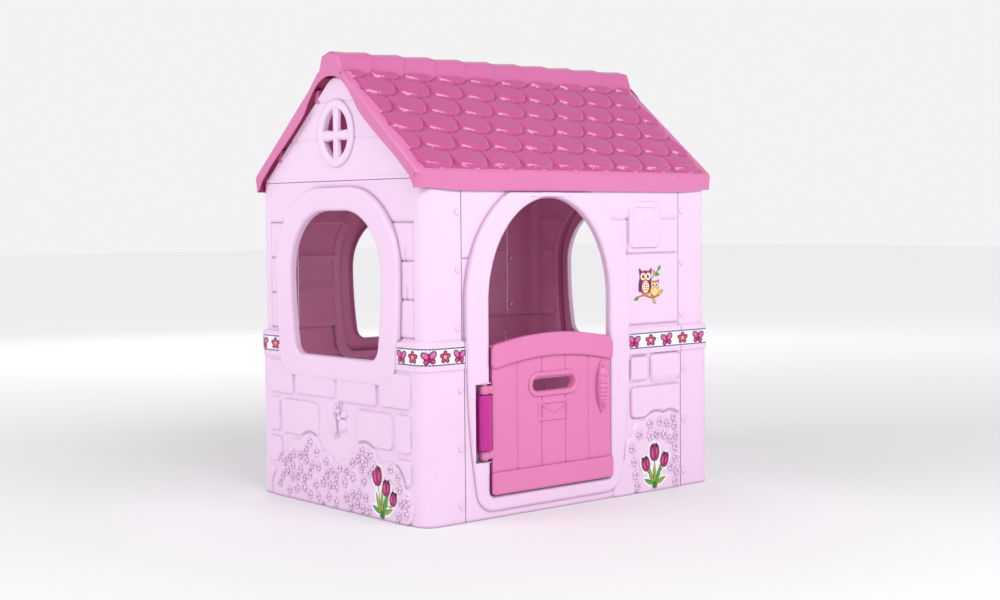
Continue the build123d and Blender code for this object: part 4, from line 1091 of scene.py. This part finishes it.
def roof_end(shape, facing, sign, rim):
    """Upright face of one roof end, from the rim down to the verge and turned in under it."""
    share = travelled(rim)
    share = share / share[-1]
    # The verge turns its lower corner sooner than the rim does.
    share = np.where(share < 0.07, share * 0.35, 0.0245 + (share - 0.07) * 0.9755 / 0.93)
    travel = travelled(VERGE)
    low_y, low_z = (np.interp(share * travel[-1], travel, part) for part in VERGE.T)
    rings = [rim]
    for inward, up in ((0.0, 2.6), (0.5, 0.9), (1.7, 0.0), (3.0, 0.6), (3.6, 9.0), (3.6, 30.0)):
        end_x = np.full(len(rim), sign * (ROOF_X - inward))
        rings.append(np.stack([end_x, facing * low_y, low_z + up], -1))
    shape.grid(np.array(rings), flip=(sign > 0) != (facing > 0), paint=1)


def build_roof(name, facing, body_node):
    """One roof half with its part of the ridge cap, its ends and the ribs that meet the gables."""
    shape = Shape()
    surface = roof_sheet(shape, facing)
    cap = ridge_cap(shape, facing)
    for end, sign in ((0, -1), (-1, 1)):
        roof_end(shape, facing, sign, np.vstack([surface[:, end], cap[2:, end]]))
    for y in (88.0, 275.0):
        foot, top = 1161.0 - 0.82 * y, APEX - SLOPE * (y + 13) - 3
        for sign in (-1, 1):
            soft_block(shape, (sign * 503.0, facing * (y - 9), foot),
                       (sign * 522.0, facing * (y + 9), top), 2.2, 1)
    roof = shape.make(name, [ROOF, ROOF_EDGE, ROOF_UNDER, ROOF_CAP_SHADED], 38)
    finish_piece(roof, "house", "roof", body_node)


def soft_block(shape, corner, opposite, radius, paint=0):
    """Box between two corners with rounded edges, as a stretched ball grid."""
    low, high = np.minimum(corner, opposite), np.maximum(corner, opposite)
    theta = np.linspace(-math.pi / 2, math.pi / 2, 13)
    phi = np.linspace(0, 2 * math.pi, 25)
    pp, tt = np.meshgrid(phi, theta)
    ball = np.stack([np.cos(tt) * np.cos(pp), np.cos(tt) * np.sin(pp), np.sin(tt)], -1)
    centre, half = (low + high) / 2, (high - low) / 2
    lifted = np.where(np.abs(ball) < 1e-9, 0, np.sign(ball))
    shape.grid(centre + lifted * (half - radius) + ball * radius, paint=paint)


# ------------------------------------------------------------------ half door and hinge

DOOR_X = -104.0
RAIL_HALF = 217.5
PLANK_HALF = 212.4
PLANK_SEAMS = (-128.25, -42.75, 42.75, 128.25)
LETTER_Z = 337.5
LETTER_PROFILE = (
    ("outer", 0, 9.6), ("outer", 0, 11.6), ("outer", -1.2, 13.6), ("outer", -3.6, 14.9),
    ("outer", -6.0, 15.2), ("between", 0.5, 15.2), ("inner", 5.2, 14.8), ("inner", 2.2, 13.4),
    ("inner", 0.5, 11.2), ("inner", 0, 8.5), ("inner", 0, -7.5), ("inner", 3, -8), ("inner", 3, 5),
    ("outer", -9, 8.0), ("outer", -3, 8.0),
)
# Hinge axis as (x, y).
HINGE = (-343.0, -391.0)


def bow(u, rise=26.0):
    """Rise of the door's top edge."""
    return rise * (1 - (u - DOOR_X) ** 2 / RAIL_HALF ** 2)


def door_height(a, z):
    """Planks with an embossed envelope under the letter slot."""
    lift = np.full(a.shape, 11.0)
    for seam in PLANK_SEAMS:
        near = np.abs(a - seam)
        lift -= 2.4 * np.exp(-(near / 1.9) ** 2) + 0.5 * np.exp(-(near / 7.0) ** 2)
    folds = ((-52, 243, 52, 243), (-52, 289, 52, 289), (-52, 243, -52, 289), (52, 243, 52, 289),
             (-50, 287, 0, 262), (50, 287, 0, 262))
    gap = np.minimum.reduce([line_gap(a, z, *fold) for fold in folds])
    return lift + 3.0 * swell(4.4 - gap, 2.6)


def rail(shape, base, low, high, rise_low, rise_top, corner):
    """Door board standing proud of the planks, with a soft edge all round."""
    outline = door_outline(RAIL_HALF, low, high, rise_top, corner, rise_low)
    sections = ((7.0, 9.5), (0.6, 9.5), (0.0, 10.1), (0.0, 13.2), (0.9, 15.6), (2.8, 17.3), (6.0, 17.95))
    rings = nested(base, outline, sections)
    shape.loft(rings)
    shape.fill(rings[-1])


def build_door():
    """Half door: planks, edge, two boards, letter slot, grip, hinge lugs and ribs."""
    shape = Shape()
    base = on_wall("front")
    a = lines(-PLANK_HALF, PLANK_HALF, 4.2, PLANK_SEAMS + (-52, -30, -10, 10, 30, 52), 1.2)
    z = lines(64.6, 446.0, 5.0, (243, 252, 262, 271, 280, 289), 1.3)
    aa, zz = np.meshgrid(a, z)
    stretch = zz + bow(aa + DOOR_X) * ramp(zz, 330, 386)
    edge = PLANK_HALF - np.abs(aa)
    lift = door_height(aa, stretch) - 2.2 * (1 - swell(edge, 2.6))
    keep = ~inside_polygon(aa + DOOR_X, stretch, slot_shape(DOOR_X, LETTER_Z, 152 + 14, 37 + 14))
    shape.grid(base(aa + DOOR_X, stretch, lift), keep)
    shape.grid(base(aa + DOOR_X, stretch, lift - SKIN)[::2, ::2], keep[::2, ::2], flip=True)

    outline = door_outline(213.0, 64.0, 446.0, 25.0, 4.0)
    sections = ((1.0, 9.0), (0.2, 8.4), (0.0, 7.0), (0.0, -10.4), (0.6, -11.0), (2.6, -11.0),
                (3.0, -10.0), (3.0, 7.0))
    shape.loft(nested(base, outline, sections), flip=True)
    rail(shape, base, 386.0, 448.0, 26.0, 26.0, 17.0)
    rail(shape, base, 62.5, 121.0, 0.0, 0.0, 10.0)
    outer, inner = (slot_shape(DOOR_X, LETTER_Z, *size) for size in ((182, 65), (152, 37)))
    raised_frame(shape, base, outer, inner, LETTER_PROFILE, len(LETTER_PROFILE))
    build_grip(shape, base)
    for low in (158.0, 325.0):
        build_lug(shape, low)
    # Stiffening ribs inside the door.
    inside, outside = -WALL_Y + 10.5, -WALL_Y - 8.0
    for seam in PLANK_SEAMS[::3]:
        x = DOOR_X + seam
        soft_block(shape, (x - 1.5, outside, 66.0), (x + 1.5, inside, 452.0), 1.0)
    for z in (121.0, 236.0, 386.0):
        soft_block(shape, (DOOR_X - 210.0, outside, z - 1.5), (DOOR_X + 210.0, inside, z + 1.5), 1.0)
    door = shape.make("half_door", [DOOR], 38)
    finish_piece(door, "door", "door", "door_panel")


def door_outline(half, low, high, rise_top, corner, rise_low=0.0):
    """Anticlockwise outline of a door board with a bowed top edge."""
    def edge(z, rise, sign):
        a = np.linspace(-half + corner, half - corner, 36) * sign
        return np.stack([DOOR_X + a, z + rise * (1 - (a / half) ** 2)], -1)

    def upright(x, start, end):
        return np.stack([np.full(14, x), np.linspace(start[1], end[1], 16)[1:-1]], -1)

    bottom, top = edge(low, rise_low, 1), edge(high, rise_top, -1)
    left_x, right_x = DOOR_X - half, DOOR_X + half
    right = bend((right_x, low), bottom[-1], (right_x, high), corner, 7)
    upper = bend((right_x, high), (right_x, low), top[0], corner, 7)
    left = bend((left_x, high), top[-1], (left_x, low), corner, 7)
    lower = bend((left_x, low), (left_x, high), bottom[0], corner, 7)
    return np.vstack([bottom, right[1:], upright(right_x, right[-1], upper[0]), upper[:-1],
                      top, left[1:], upright(left_x, left[-1], lower[0]), lower[:-1]])


def build_grip(shape, base):
    """Oval plate with a bulging, ribbed hand grip."""
    cu, cz = 73.0, 315.0
    plate = ((0, 9.5), (0, 12.5), (1.0, 14.6), (3.0, 15.8), (6.5, 16.2), (12.0, 16.4))
    rings = nested(base, oval(cu, cz, 17.0, 71.0), plate)
    shape.loft(rings)
    shape.fan(rings[-1])
    along = np.linspace(-1, 1, 74)
    around = np.linspace(0, math.pi, 25)
    aa, pp = np.meshgrid(along, around, indexing="ij")
    body = np.maximum(1 - np.abs(aa) ** 2.6, 0) ** 0.5
    z = cz + 57.0 * aa
    ribs = sum(np.exp(-((z - (cz + offset)) / 2.3) ** 2) for offset in (-38, -27, -16, -5, 8, 28))
    bulge = body * (1 - 0.12 * ribs * np.sin(pp) ** 0.5)
    u = cu + 20.5 * bulge * np.cos(pp)
    out = 11.0 + 20.5 * bulge * np.maximum(np.sin(pp), 0) ** 0.8
    shape.grid(base(u, z, out), flip=True)


def turned_rings(cx, cy, sections, count):
    """Level rings round an upright axis, one for each (radius, height)."""
    t = circle(count)
    return [np.stack([cx + r * np.cos(t), cy + r * np.sin(t), np.full(count, z)], -1)
            for r, z in sections]


def barrel_ring(shape, cx, cy, z0, z1, radius, bore, soft, count=48):
    """Turned sleeve with rounded ends and a bore."""
    shoulder = radius - soft * 0.3
    sections = (
        (bore, z0 + soft), (bore + 0.4, z0), (radius - soft, z0), (shoulder, z0 + soft * 0.3),
        (radius, z0 + soft), (radius, z1 - soft), (shoulder, z1 - soft * 0.3),
        (radius - soft, z1), (bore + 0.4, z1), (bore, z1 - soft),
    )
    shape.loft(turned_rings(cx, cy, sections, count), loop=True)


def build_lug(shape, low):
    """Hinge lug: a short barrel and the arm that carries it."""
    high = low + 22.0
    barrel_ring(shape, *HINGE, low, high, 12.5, 4.05, 2.2)
    soft_block(shape, (-334.5, -396.5, low + 0.4), (-314.5, -382.0, high - 0.4), 2.4)


def build_hinge():
    """Fixed hinge sleeve and the pin through it."""
    shape = Shape()
    barrel_ring(shape, *HINGE, 181.0, 324.0, 20.0, 4.05, 4.0, 64)
    soft_block(shape, (-352.0, -378.0, 195.0), (-334.0, -366.1, 310.0), 1.5)
    sleeve = shape.make("hinge_sleeve_turned", [SLEEVE])
    finish_piece(sleeve, "house", "sleeve", "hinge_sleeve")
    shape = Shape()
    sections = (
        (0.2, 153.5), (6.6, 153.5), (7.5, 154.4), (7.5, 156.6), (6.9, 157.0), (4.0, 157.0),
        (4.0, 348.0), (6.9, 348.0), (7.5, 348.4), (7.5, 350.6), (6.6, 351.5), (0.2, 351.5),
    )
    shape.loft(turned_rings(*HINGE, sections, 32))
    pin = shape.make("hinge_pin_turned", [PIN])
    finish_piece(pin, "house", "pin", "hinge_pin")


# ------------------------------------------------------------------ rivets

def build_rivets(node):
    """Six snap rivets: a low domed head with a dimple, a shank and an inside button."""
    shape = Shape()
    low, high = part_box(node)
    side = "front" if low[1] < 0 else "back"
    across = (low[0] + high[0]) / 2 / MM * (1 if side == "front" else -1)
    base = on_wall(side)
    t = circle(28)
    sections = (
        (0.2, 2.3), (2.6, 2.35), (3.4, 3.0), (5.2, 3.25), (7.4, 2.5), (8.6, 1.2), (9.0, 0.0),
        (4.0, 0.0), (4.0, -6.5), (7.0, -6.6), (7.0, -7.6), (6.2, -8.4), (0.2, -8.4),
    )
    for face, heights in ((0.05, (44.0, 191.5, 341.0)), (UPPER_OUT + 0.05, (498.0, 646.0, 793.0))):
        for height in heights:
            shape.loft([base(across + r * np.cos(t), height + r * np.sin(t), np.full(28, face + out))
                        for r, out in sections], flip=True)
    piece = shape.make(f"{node}_moulded", [RIVET], 45)
    finish_piece(piece, "house", "rivet", node)


# ------------------------------------------------------------------ stickers

INK = {name: number for number, name in enumerate(INKS)}
LAYER = 0.035
FILM_OUT = 0.35


class Sticker:
    """Printed shapes laid one over another on a wall, each a hair further out."""

    def __init__(self, side, out, centre=(0, 0), scale=1.0):
        self.shape, self.place, self.out = Shape(), on_wall(side), out + FILM_OUT
        self.centre, self.scale = np.array(centre, float), scale

    def blob(self, ink, outline, distance=0.0):
        """Star-shaped patch of one colour."""
        ring = np.asarray(outline, float) * self.scale + self.centre
        if distance:
            ring = grow(ring, distance)
        middle = ring.mean(0)
        self.out += LAYER
        rings = [section(self.place, middle + (ring - middle) * share, self.out)
                 for share in (1, 0.75, 0.5, 0.25, 0.02)]
        edge = section(self.place, ring, self.out - 0.25)
        self.shape.loft([edge] + rings, paint=INK[ink])

    def stroke(self, ink, points, width):
        """Ribbon along a smooth path, tapering a little to its ends."""
        points = curve_through(np.asarray(points, float)) * self.scale + self.centre
        tangent = np.gradient(points, axis=0)
        normal = unit_rows(np.stack([-tangent[:, 1], tangent[:, 0]], -1))
        taper = width * self.scale / 2 * np.sqrt(np.linspace(0.25, 1, len(points)))[:, None]
        self.out += LAYER
        rows = [section(self.place, points + normal * taper * way, self.out) for way in (-1, 1)]
        self.shape.grid(np.array(rows), paint=INK[ink])

    def strip(self, ink, along, rows, rise=0.0):
        """Grid of one colour over lines along and up the wall."""
        aa, zz = np.meshgrid(along, rows)
        self.shape.grid(self.place(aa, zz, self.out + rise + 0 * aa), paint=INK[ink])

    def finish(self, node, slot):
        """Makes the film that stands for one sticker."""
        finish_piece(self.shape.make(f"{node}_film", FILMS), "house", slot, node)


def between(p0, p1, p2, p3, steps):
    """Points from p1 towards p2 on a smooth curve through four points."""
    return [0.5 * (2 * p1 + (p2 - p0) * t + (2 * p0 - 5 * p1 + 4 * p2 - p3) * t * t
                   + (3 * p1 - p0 - 3 * p2 + p3) * t ** 3) for t in np.arange(steps) / steps]


def curve_through(points):
    """Smooth open path through a few points."""
    padded = np.vstack([2 * points[0] - points[1], points, 2 * points[-1] - points[-2]])
    path = []
    for group in zip(padded, padded[1:], padded[2:], padded[3:]):
        path += between(*group, 8)
    return np.array(path + [points[-1]])


def loop_through(points):
    """Smooth closed outline through a few points, anticlockwise."""
    points = np.asarray(points, float)
    path = []
    for group in zip(*(np.roll(points, shift, axis=0) for shift in (1, 0, -1, -2))):
        path += between(*group, 6)
    return np.array(path)


def turned(points, turn, at, size=1.0):
    """Points turned anticlockwise, resized and moved."""
    c, s = math.cos(turn), math.sin(turn)
    return np.asarray(points, float) @ np.array([[c, s], [-s, c]]) * size + at


def ellipse(cu, cz, ru, rz, turn=0.0, count=26):
    """Turned ellipse, anticlockwise."""
    t = circle(count)
    return turned(np.stack([ru * np.cos(t), rz * np.sin(t)], -1), turn, (cu, cz))


def petals(cu, cz, radius, count, turn, waist):
    """Outline of a flower; the waist is its smallest radius as a share of the largest."""
    t = circle(60)
    r = radius * (waist + (1 - waist) * np.abs(np.sin(count / 2 * (t - turn))) ** 0.8)
    return np.stack([cu + r * np.cos(t), cz + r * np.sin(t)], -1)


def leaf(cu, cz, length, width, turn):
    """Pointed leaf from its foot."""
    t = np.linspace(0, 1, 14)
    side = width / 2 * np.sin(np.pi * t ** 0.8) ** 0.9
    ring = np.vstack([np.stack([t * length, -side], -1), np.stack([t * length, side], -1)[::-1][1:-1]])
    return turned(ring, turn, (cu, cz))


def butterfly(film, cu, cz, size, turn):
    """Small pink butterfly with dark wing edges."""
    def spot(a, b):
        return turned((a, b), turn, (cu, cz), size)

    upper, lower = (8.8, 5.6, 8.6, 5.8, 0.75), (6.2, -6.6, 6.6, 5.2, -0.85)
    for wing, ink, grown in ((lower, "deep", 1.8), (upper, "black", 2.1), (lower, "magenta", -0.6),
                             (upper, "pink", -0.8)):
        for sign in (-1, 1):
            a, b, ru, rz, lean = wing
            centre = spot(sign * a, b)
            film.blob(ink, ellipse(*centre, ru * size + grown, rz * size + grown, turn + sign * lean))
    for sign in (-1, 1):
        for ink, a, b, ru, rz, lean in (("lilac", 11.4, 8.2, 3.2, 2.2, 0.75),
                                        ("pink", 8.0, -8.2, 3.0, 1.8, -0.85)):
            film.blob(ink, ellipse(*spot(sign * a, b), ru * size, rz * size, turn + sign * lean))
        film.stroke("black", [spot(0, 8), spot(sign * 2.6, 13), spot(sign * 5.5, 16)], 1.2)
    film.blob("deep", ellipse(*spot(0, 0.5), 2.2 * size, 9.6 * size, turn))


def small_flower(film, cu, cz, turn):
    """Small magenta flower with a yellow middle."""
    film.blob("deep", petals(cu, cz, 17.5, 5, turn, 0.6))
    film.blob("magenta", petals(cu, cz, 14.2, 5, turn, 0.56))
    for k in range(5):
        a = turn + math.pi / 5 + k * 2 * math.pi / 5
        film.blob("pink", ellipse(cu + 9.5 * math.cos(a), cz + 9.5 * math.sin(a), 3.4, 1.5, a, 14))
    film.blob("yellow", ellipse(cu, cz, 4.6, 4.6))
    film.blob("orange", ellipse(cu, cz, 2.2, 2.2, 0, 14))


def build_belt_strip(node, start, end, pitch=62.0, stretch=1.28):
    """White strip round a corner with dashed borders, butterflies and flowers."""
    film = Sticker("front", BELT_OUT)
    along = np.linspace(start, end, 2 + int((end - start) / 6))
    turned_in = np.array([-0.5, 0.0, 0.0, -0.5])[:, None]
    film.strip("white", along, (407.0, 407.2, 452.8, 453.0), turned_in)
    film.out += LAYER
    for border in ((408.0, 411.6), (448.4, 452.0)):
        film.strip("violet", along, border)
        for dash in np.arange(start + 4, end - 8, 9.0):
            film.strip("lilac", (dash, dash + 3.4), border, LAYER)
    film.out += LAYER
    base = film.out
    margin = 17.0
    count = int(round((end - start - 2 * margin) / pitch)) + 1
    for k, u in enumerate(np.linspace(start + margin, end - margin, count)):
        film.out = base
        film.centre = np.array([u, 430.0])
        if k % 2 == 0:
            film.scale = np.array([stretch * 0.92, 1.0])
            butterfly(film, 0, -1.5, 1.16, 0.10 if k % 4 else -0.06)
        else:
            film.scale = np.array([stretch, 1.0])
            small_flower(film, 0, -0.8, 0.942)
    film.finish(node, "belt_film")


TULIP = ((0, -20), (9, -18), (15.5, -7), (16.5, 5), (13.5, 20), (6.5, 14), (0, 25), (-6.5, 14),
         (-13.5, 20), (-16.5, 5), (-15.5, -7), (-9, -18))


BUNCH = (((0, 36), 0.02, 1.15), ((-38, 3), 0.30, 0.94), ((43, 9), -0.30, 0.96))
STAIR = (((-22, 42), 0.06, 1.22), ((20, 12), -0.12, 0.98), ((52, -15), -0.30, 0.84))


def build_tulips(node, side, at, heads):
    """Three magenta tulips with green leaves, cut out with a white edge."""
    film = Sticker(side, 5.4, at, 0.92)
    blades = (
        ((-4, -62), 66, 15, 1.95), ((5, -62), 72, 15, 1.20), ((0, -62), 74, 13, 1.57),
        ((-6, -60), 44, 13, 2.70), ((8, -60), 46, 13, 0.42),
    )
    for at_head, turn, size in heads:
        film.blob("white", loop_through(turned(TULIP, turn, at_head, size)), 8.5)
    for foot, length, width, turn in blades:
        film.blob("white", leaf(*foot, length, width, turn), 7.0)
    film.blob("white", ellipse(0, -20, 30, 44))
    for (u, z), turn, size in heads:
        film.stroke("green", [(0, -58), (u * 0.35, -36), (u * 0.8, z - 22), (u, z - 12)], 5.0)
    for number, (foot, length, width, turn) in enumerate(blades):
        film.blob("dark_green", leaf(*foot, length, width, turn))
        film.blob("green" if number % 2 else "yellow", leaf(*foot, length * 0.9, width * 0.55, turn))
        film.blob("green", leaf(*foot, length * 0.84, width * 0.36, turn + 0.03))
    film.blob("dark_green", petals(1, -63, 13, 9, 0.3, 0.45))
    for at_head, turn, size in heads:
        film.blob("deep", loop_through(turned(TULIP, turn, at_head, size)), 1.8)
        film.blob("magenta", loop_through(turned(TULIP, turn, at_head, size * 0.94)))
        film.blob("pink", turned(ellipse(-7.5, -1, 2.6, 12, 0.1), turn, at_head, size))
        film.blob("deep", turned(leaf(0, -16, 34, 9.0, 1.57), turn, at_head, size))
        film.blob("magenta", turned(leaf(0, -15, 31, 6.0, 1.57), turn, at_head, size))
        film.blob("pink", turned(ellipse(7.6, 2, 2.0, 10, -0.12), turn, at_head, size))
    film.finish(node, "film")


def owl(film, at, size, body, wing, belly, eye):
    """Round owl: body, ear tufts, wings, belly, face discs, beak and feet."""
    def put(ink, ring, grown=0.0):
        film.blob(ink, turned(ring, 0.0, at, size), grown)
    head = loop_through(((0, 0), (17, 6), (23, 22), (19, 42), (22, 62), (12, 55), (0, 57), (-12, 55),
                         (-22, 62), (-19, 42), (-23, 22), (-17, 6)))
    put("deep", head, 1.4)
    put(body, head)
    for sign in (-1, 1):
        put(wing, ellipse(sign * 18, 20, 6, 16, sign * 0.18))
    put(belly, ellipse(0, 17, 12.5, 15.5))
    for row, z in enumerate((9, 15, 21, 27)):
        for k in (-1, 0, 1):
            put(body, ellipse(k * 6.5 + (row % 2) * 2.0 - 1, z, 1.5, 1.9, 0, 12))
    for sign in (-1, 1):
        put("white", petals(sign * 9, 43, 9.6, 11, 0.2, 0.86))
        put(eye, ellipse(sign * 8.6, 43, 6.0, 6.0))
        put("black", ellipse(sign * 8.2, 43, 4.0, 4.2))
        put("white", ellipse(sign * 8.2 + 1.4, 44.6, 1.3, 1.3, 0, 12))
        put("orange", ellipse(sign * 7.5, -0.5, 4.2, 2.2))
    put("orange", loop_through(((0, 32), (3, 38), (0, 40), (-3, 38))))


def build_owls(node):
    """Mother owl and owlet on a leafy twig."""
    film = Sticker("front", UPPER_OUT)
    big, small = (266, 561), (302, 553)
    twig = [(236, 552), (262, 556), (292, 549), (322, 556)]
    sprig = [(288, 600), (302, 611), (318, 626)]
    sprigs = (((322, 557), 20, 8, 0.7), ((240, 551), 20, 9, 3.5), ((296, 545), 18, 8, -0.9),
              ((306, 613), 17, 8, 0.1), ((304, 612), 15, 8, 1.9), ((318, 626), 15, 8, 0.95))
    film.stroke("dark_green", sprig, 3.0)
    film.stroke("deep", twig, 6.5)
    film.stroke("orange", [(u, z + 0.5) for u, z in twig], 3.0)
    for number, (foot, length, width, turn) in enumerate(sprigs):
        film.blob("dark_green", leaf(*foot, length, width, turn), 0.8)
        film.blob("green" if number % 2 else "yellow", leaf(*foot, length * 0.92, width * 0.7, turn))
    owl(film, big, 1.12, "magenta", "deep", "cream", "yellow")
    owl(film, small, 0.72, "orange", "yellow", "cream", "green")
    film.finish(node, "film")


def build_ladybird(node):
    """Ladybird on a leaf."""
    film = Sticker("back", UPPER_OUT + 2.2, (-338.0, 511.0))
    film.blob("white", ellipse(0, 0, 56, 36))
    film.blob("dark_green", leaf(-52, -16, 104, 38, 0.16))
    film.blob("green", leaf(-49, -15, 98, 30, 0.16))
    film.stroke("dark_green", [(-50, -15), (0, -12), (46, 0)], 2.0)
    for k in (-12, 0, 12):
        film.stroke("black", [(k, -4), (k * 1.3, -14)], 2.6)
    film.blob("black", ellipse(27, 5, 11, 10))
    film.blob("deep", ellipse(0, 6, 28, 21), 1.2)
    film.blob("magenta", ellipse(0, 6, 28, 21))
    film.stroke("deep", [(-27, 8), (0, 12), (26, 9)], 2.2)
    for u, z, r in ((-14, 16, 4.4), (6, 19, 3.8), (-8, -1, 4.8), (12, 2, 4.2), (-22, 5, 3.0)):
        film.blob("black", ellipse(u, z, r, r * 0.9))
    film.blob("white", ellipse(30, 8, 3.4, 3.8))
    film.blob("black", ellipse(31, 8, 1.6, 1.9))
    for lean in (8, 15):
        film.stroke("black", [(31, 13), (33 + lean / 3, 21), (33 + lean, 25)], 1.4)
    film.finish(node, "film")


def build_snail(node):
    """Snail with a spiral shell."""
    film = Sticker("back", 6.0, (180.0, 56.0))
    body = loop_through(((-46, -30), (10, -32), (44, -28), (56, -6), (58, 18), (48, 26), (38, 14),
                         (34, -8), (0, -14), (-30, -20)))
    shell = ellipse(-8, 6, 34, 31)
    film.blob("white", shell, 7.0)
    film.blob("white", ellipse(0, -16, 54, 22))
    film.blob("white", ellipse(48, 8, 17, 34))
    film.blob("deep", body, 1.4)
    film.blob("yellow", body)
    film.blob("deep", shell, 1.6)
    film.blob("pink", shell)
    t = np.linspace(0, 4.6 * math.pi, 30)
    r = 29 * (1 - t / t[-1]) ** 0.9 + 1.5
    film.stroke("magenta", np.stack([-8 + r * np.cos(t), 6 + r * np.sin(t) * 0.92], -1), 5.0)
    for tip in ((44, 36), (60, 36)):
        film.stroke("deep", [(52, 20), (50 + (tip[0] - 52) * 0.5, 28), tip], 2.2)
        film.blob("deep", ellipse(*tip, 3.4, 3.4))
    film.blob("white", ellipse(50, 14, 4.2, 4.8))
    film.blob("black", ellipse(51, 14, 2.0, 2.4))
    film.finish(node, "film")


def build_stickers():
    """Belt strips round the four corners and the six single stickers."""
    end = 277.0
    build_belt_strip("front_left_belt_sticker", CENTRE["left"] + end, -403.0, 51.0, 1.04)
    build_belt_strip("front_right_belt_sticker", 192.0, CENTRE["right"] - end)
    build_belt_strip("back_right_belt_sticker", CENTRE["right"] + end, CENTRE["back"] - end)
    build_belt_strip("back_left_belt_sticker", CENTRE["back"] + end, ROUND_TRIP + CENTRE["left"] - end)
    build_tulips("front_tulip_sticker", "front", (286, 76), BUNCH)
    build_tulips("left_tulip_sticker", "left", (208, 72), STAIR)
    build_tulips("right_tulip_sticker", "right", (208, 72), STAIR)
    build_owls("owl_sticker")
    build_ladybird("ladybird_sticker")
    build_snail("snail_sticker")


# ------------------------------------------------------------------ stage, light and camera

def soft_light(name, place, aim, size, power, glossy=True):
    """Area light at a place, turned towards the aim."""
    light = bpy.data.lights.new(name, "AREA")
    light.shape = "RECTANGLE"
    light.size, light.size_y = size
    light.energy = power
    lamp = bpy.data.objects.new(name, light)
    lamp.location = place
    lamp.rotation_euler = (Vector(aim) - Vector(place)).to_track_quat("-Z", "Y").to_euler()
    lamp.visible_glossy = glossy
    bpy.context.scene.collection.objects.link(lamp)


def build_stage():
    """Pale floor and studio light; both grow even and pale away from the house."""
    floor_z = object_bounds()[0][2]
    mesh = bpy.data.meshes.new("floor")
    reach = 30.0
    corners = ((-reach, -reach), (reach, -reach), (reach, reach), (-reach, reach))
    mesh.from_pydata([(x, y, floor_z) for x, y in corners], [], [(0, 1, 2, 3)])
    floor = bpy.data.objects.new("floor", mesh)
    bpy.context.scene.collection.objects.link(floor)
    paper = bpy.data.materials.new("paper")
    paper.use_nodes = True
    tree = paper.node_tree
    where = add_node(tree, "TexCoord", {}).outputs["Object"]
    away = add_node(tree, "VectorMath", {"Vector": where})
    away.operation = "LENGTH"
    feed(tree, tree.nodes["Principled BSDF"], {
        "Base Color": (0.80, 0.80, 0.81, 1), "Roughness": 0.9, "Emission Color": (1.0, 0.99, 1.0, 1),
        "Emission Strength": ranged(tree, away.outputs["Value"], 1.2, 5.5, 0.06, 0.42),
    })
    mesh.materials.append(paper)

    world = bpy.data.worlds.new("studio")
    world.use_nodes = True
    tree = world.node_tree
    direction = add_node(tree, "TexCoord", {}).outputs["Generated"]
    height = add_node(tree, "SeparateXYZ", {"Vector": direction}).outputs["Z"]
    feed(tree, tree.nodes["Background"], {
        "Color": (1.0, 0.985, 1.0, 1), "Strength": ranged(tree, height, 0.22, 0.60, 0.90, 0.42),
    })
    bpy.context.scene.world = world
    soft_light("key", (-0.5, -2.9, 3.0), (0, 0, 0.9), (3.0, 0.9), 79)
    soft_light("fill", (-4.4, 1.0, 3.0), (0, 0, 0.7), (2.0, 1.4), 65)
    soft_light("inner", (-0.25, 0, floor_z + 0.02), (-0.2, 0.35, 0.8), (0.4, 0.5), 0.8, glossy=False)
    soft_light("rear", (2.5, 4.6, 3.2), (0, 0, 0.6), (3.0, 3.0), 60, glossy=False)


def build_camera():
    """Camera in front of the left front corner, near the height of the belt."""
    yaw, pitch, roll = math.radians(49.39), math.radians(-3.06), math.radians(-0.43)
    look = Vector((
        math.cos(pitch) * math.cos(yaw), math.cos(pitch) * math.sin(yaw), math.sin(pitch),
    ))
    lens = bpy.data.cameras.new("camera")
    lens.lens = 55.6
    lens.sensor_width = 36.0
    camera = bpy.data.objects.new("camera", lens)
    turn = look.to_track_quat("-Z", "Y").to_matrix() @ Matrix.Rotation(roll, 3, "Z")
    camera.rotation_euler = turn.to_euler()
    camera.location = (-2.873, HOUSE_Y - 3.408, 0.778)
    bpy.context.scene.collection.objects.link(camera)
    bpy.context.scene.camera = camera
    bpy.context.scene.view_settings.view_transform = "Standard"


build_side("left")
build_side("right")
build_back()
build_front()
build_gable("left")
build_gable("right")
build_roof("roof_front_moulding", -1, "roof_front")
build_roof("roof_back_moulding", 1, "roof_back")
build_door()
build_hinge()
for corner in ("front_left", "front_right", "back_left", "back_right"):
    build_rivets(f"{corner}_rivets")
build_stickers()
build_stage()
build_camera()
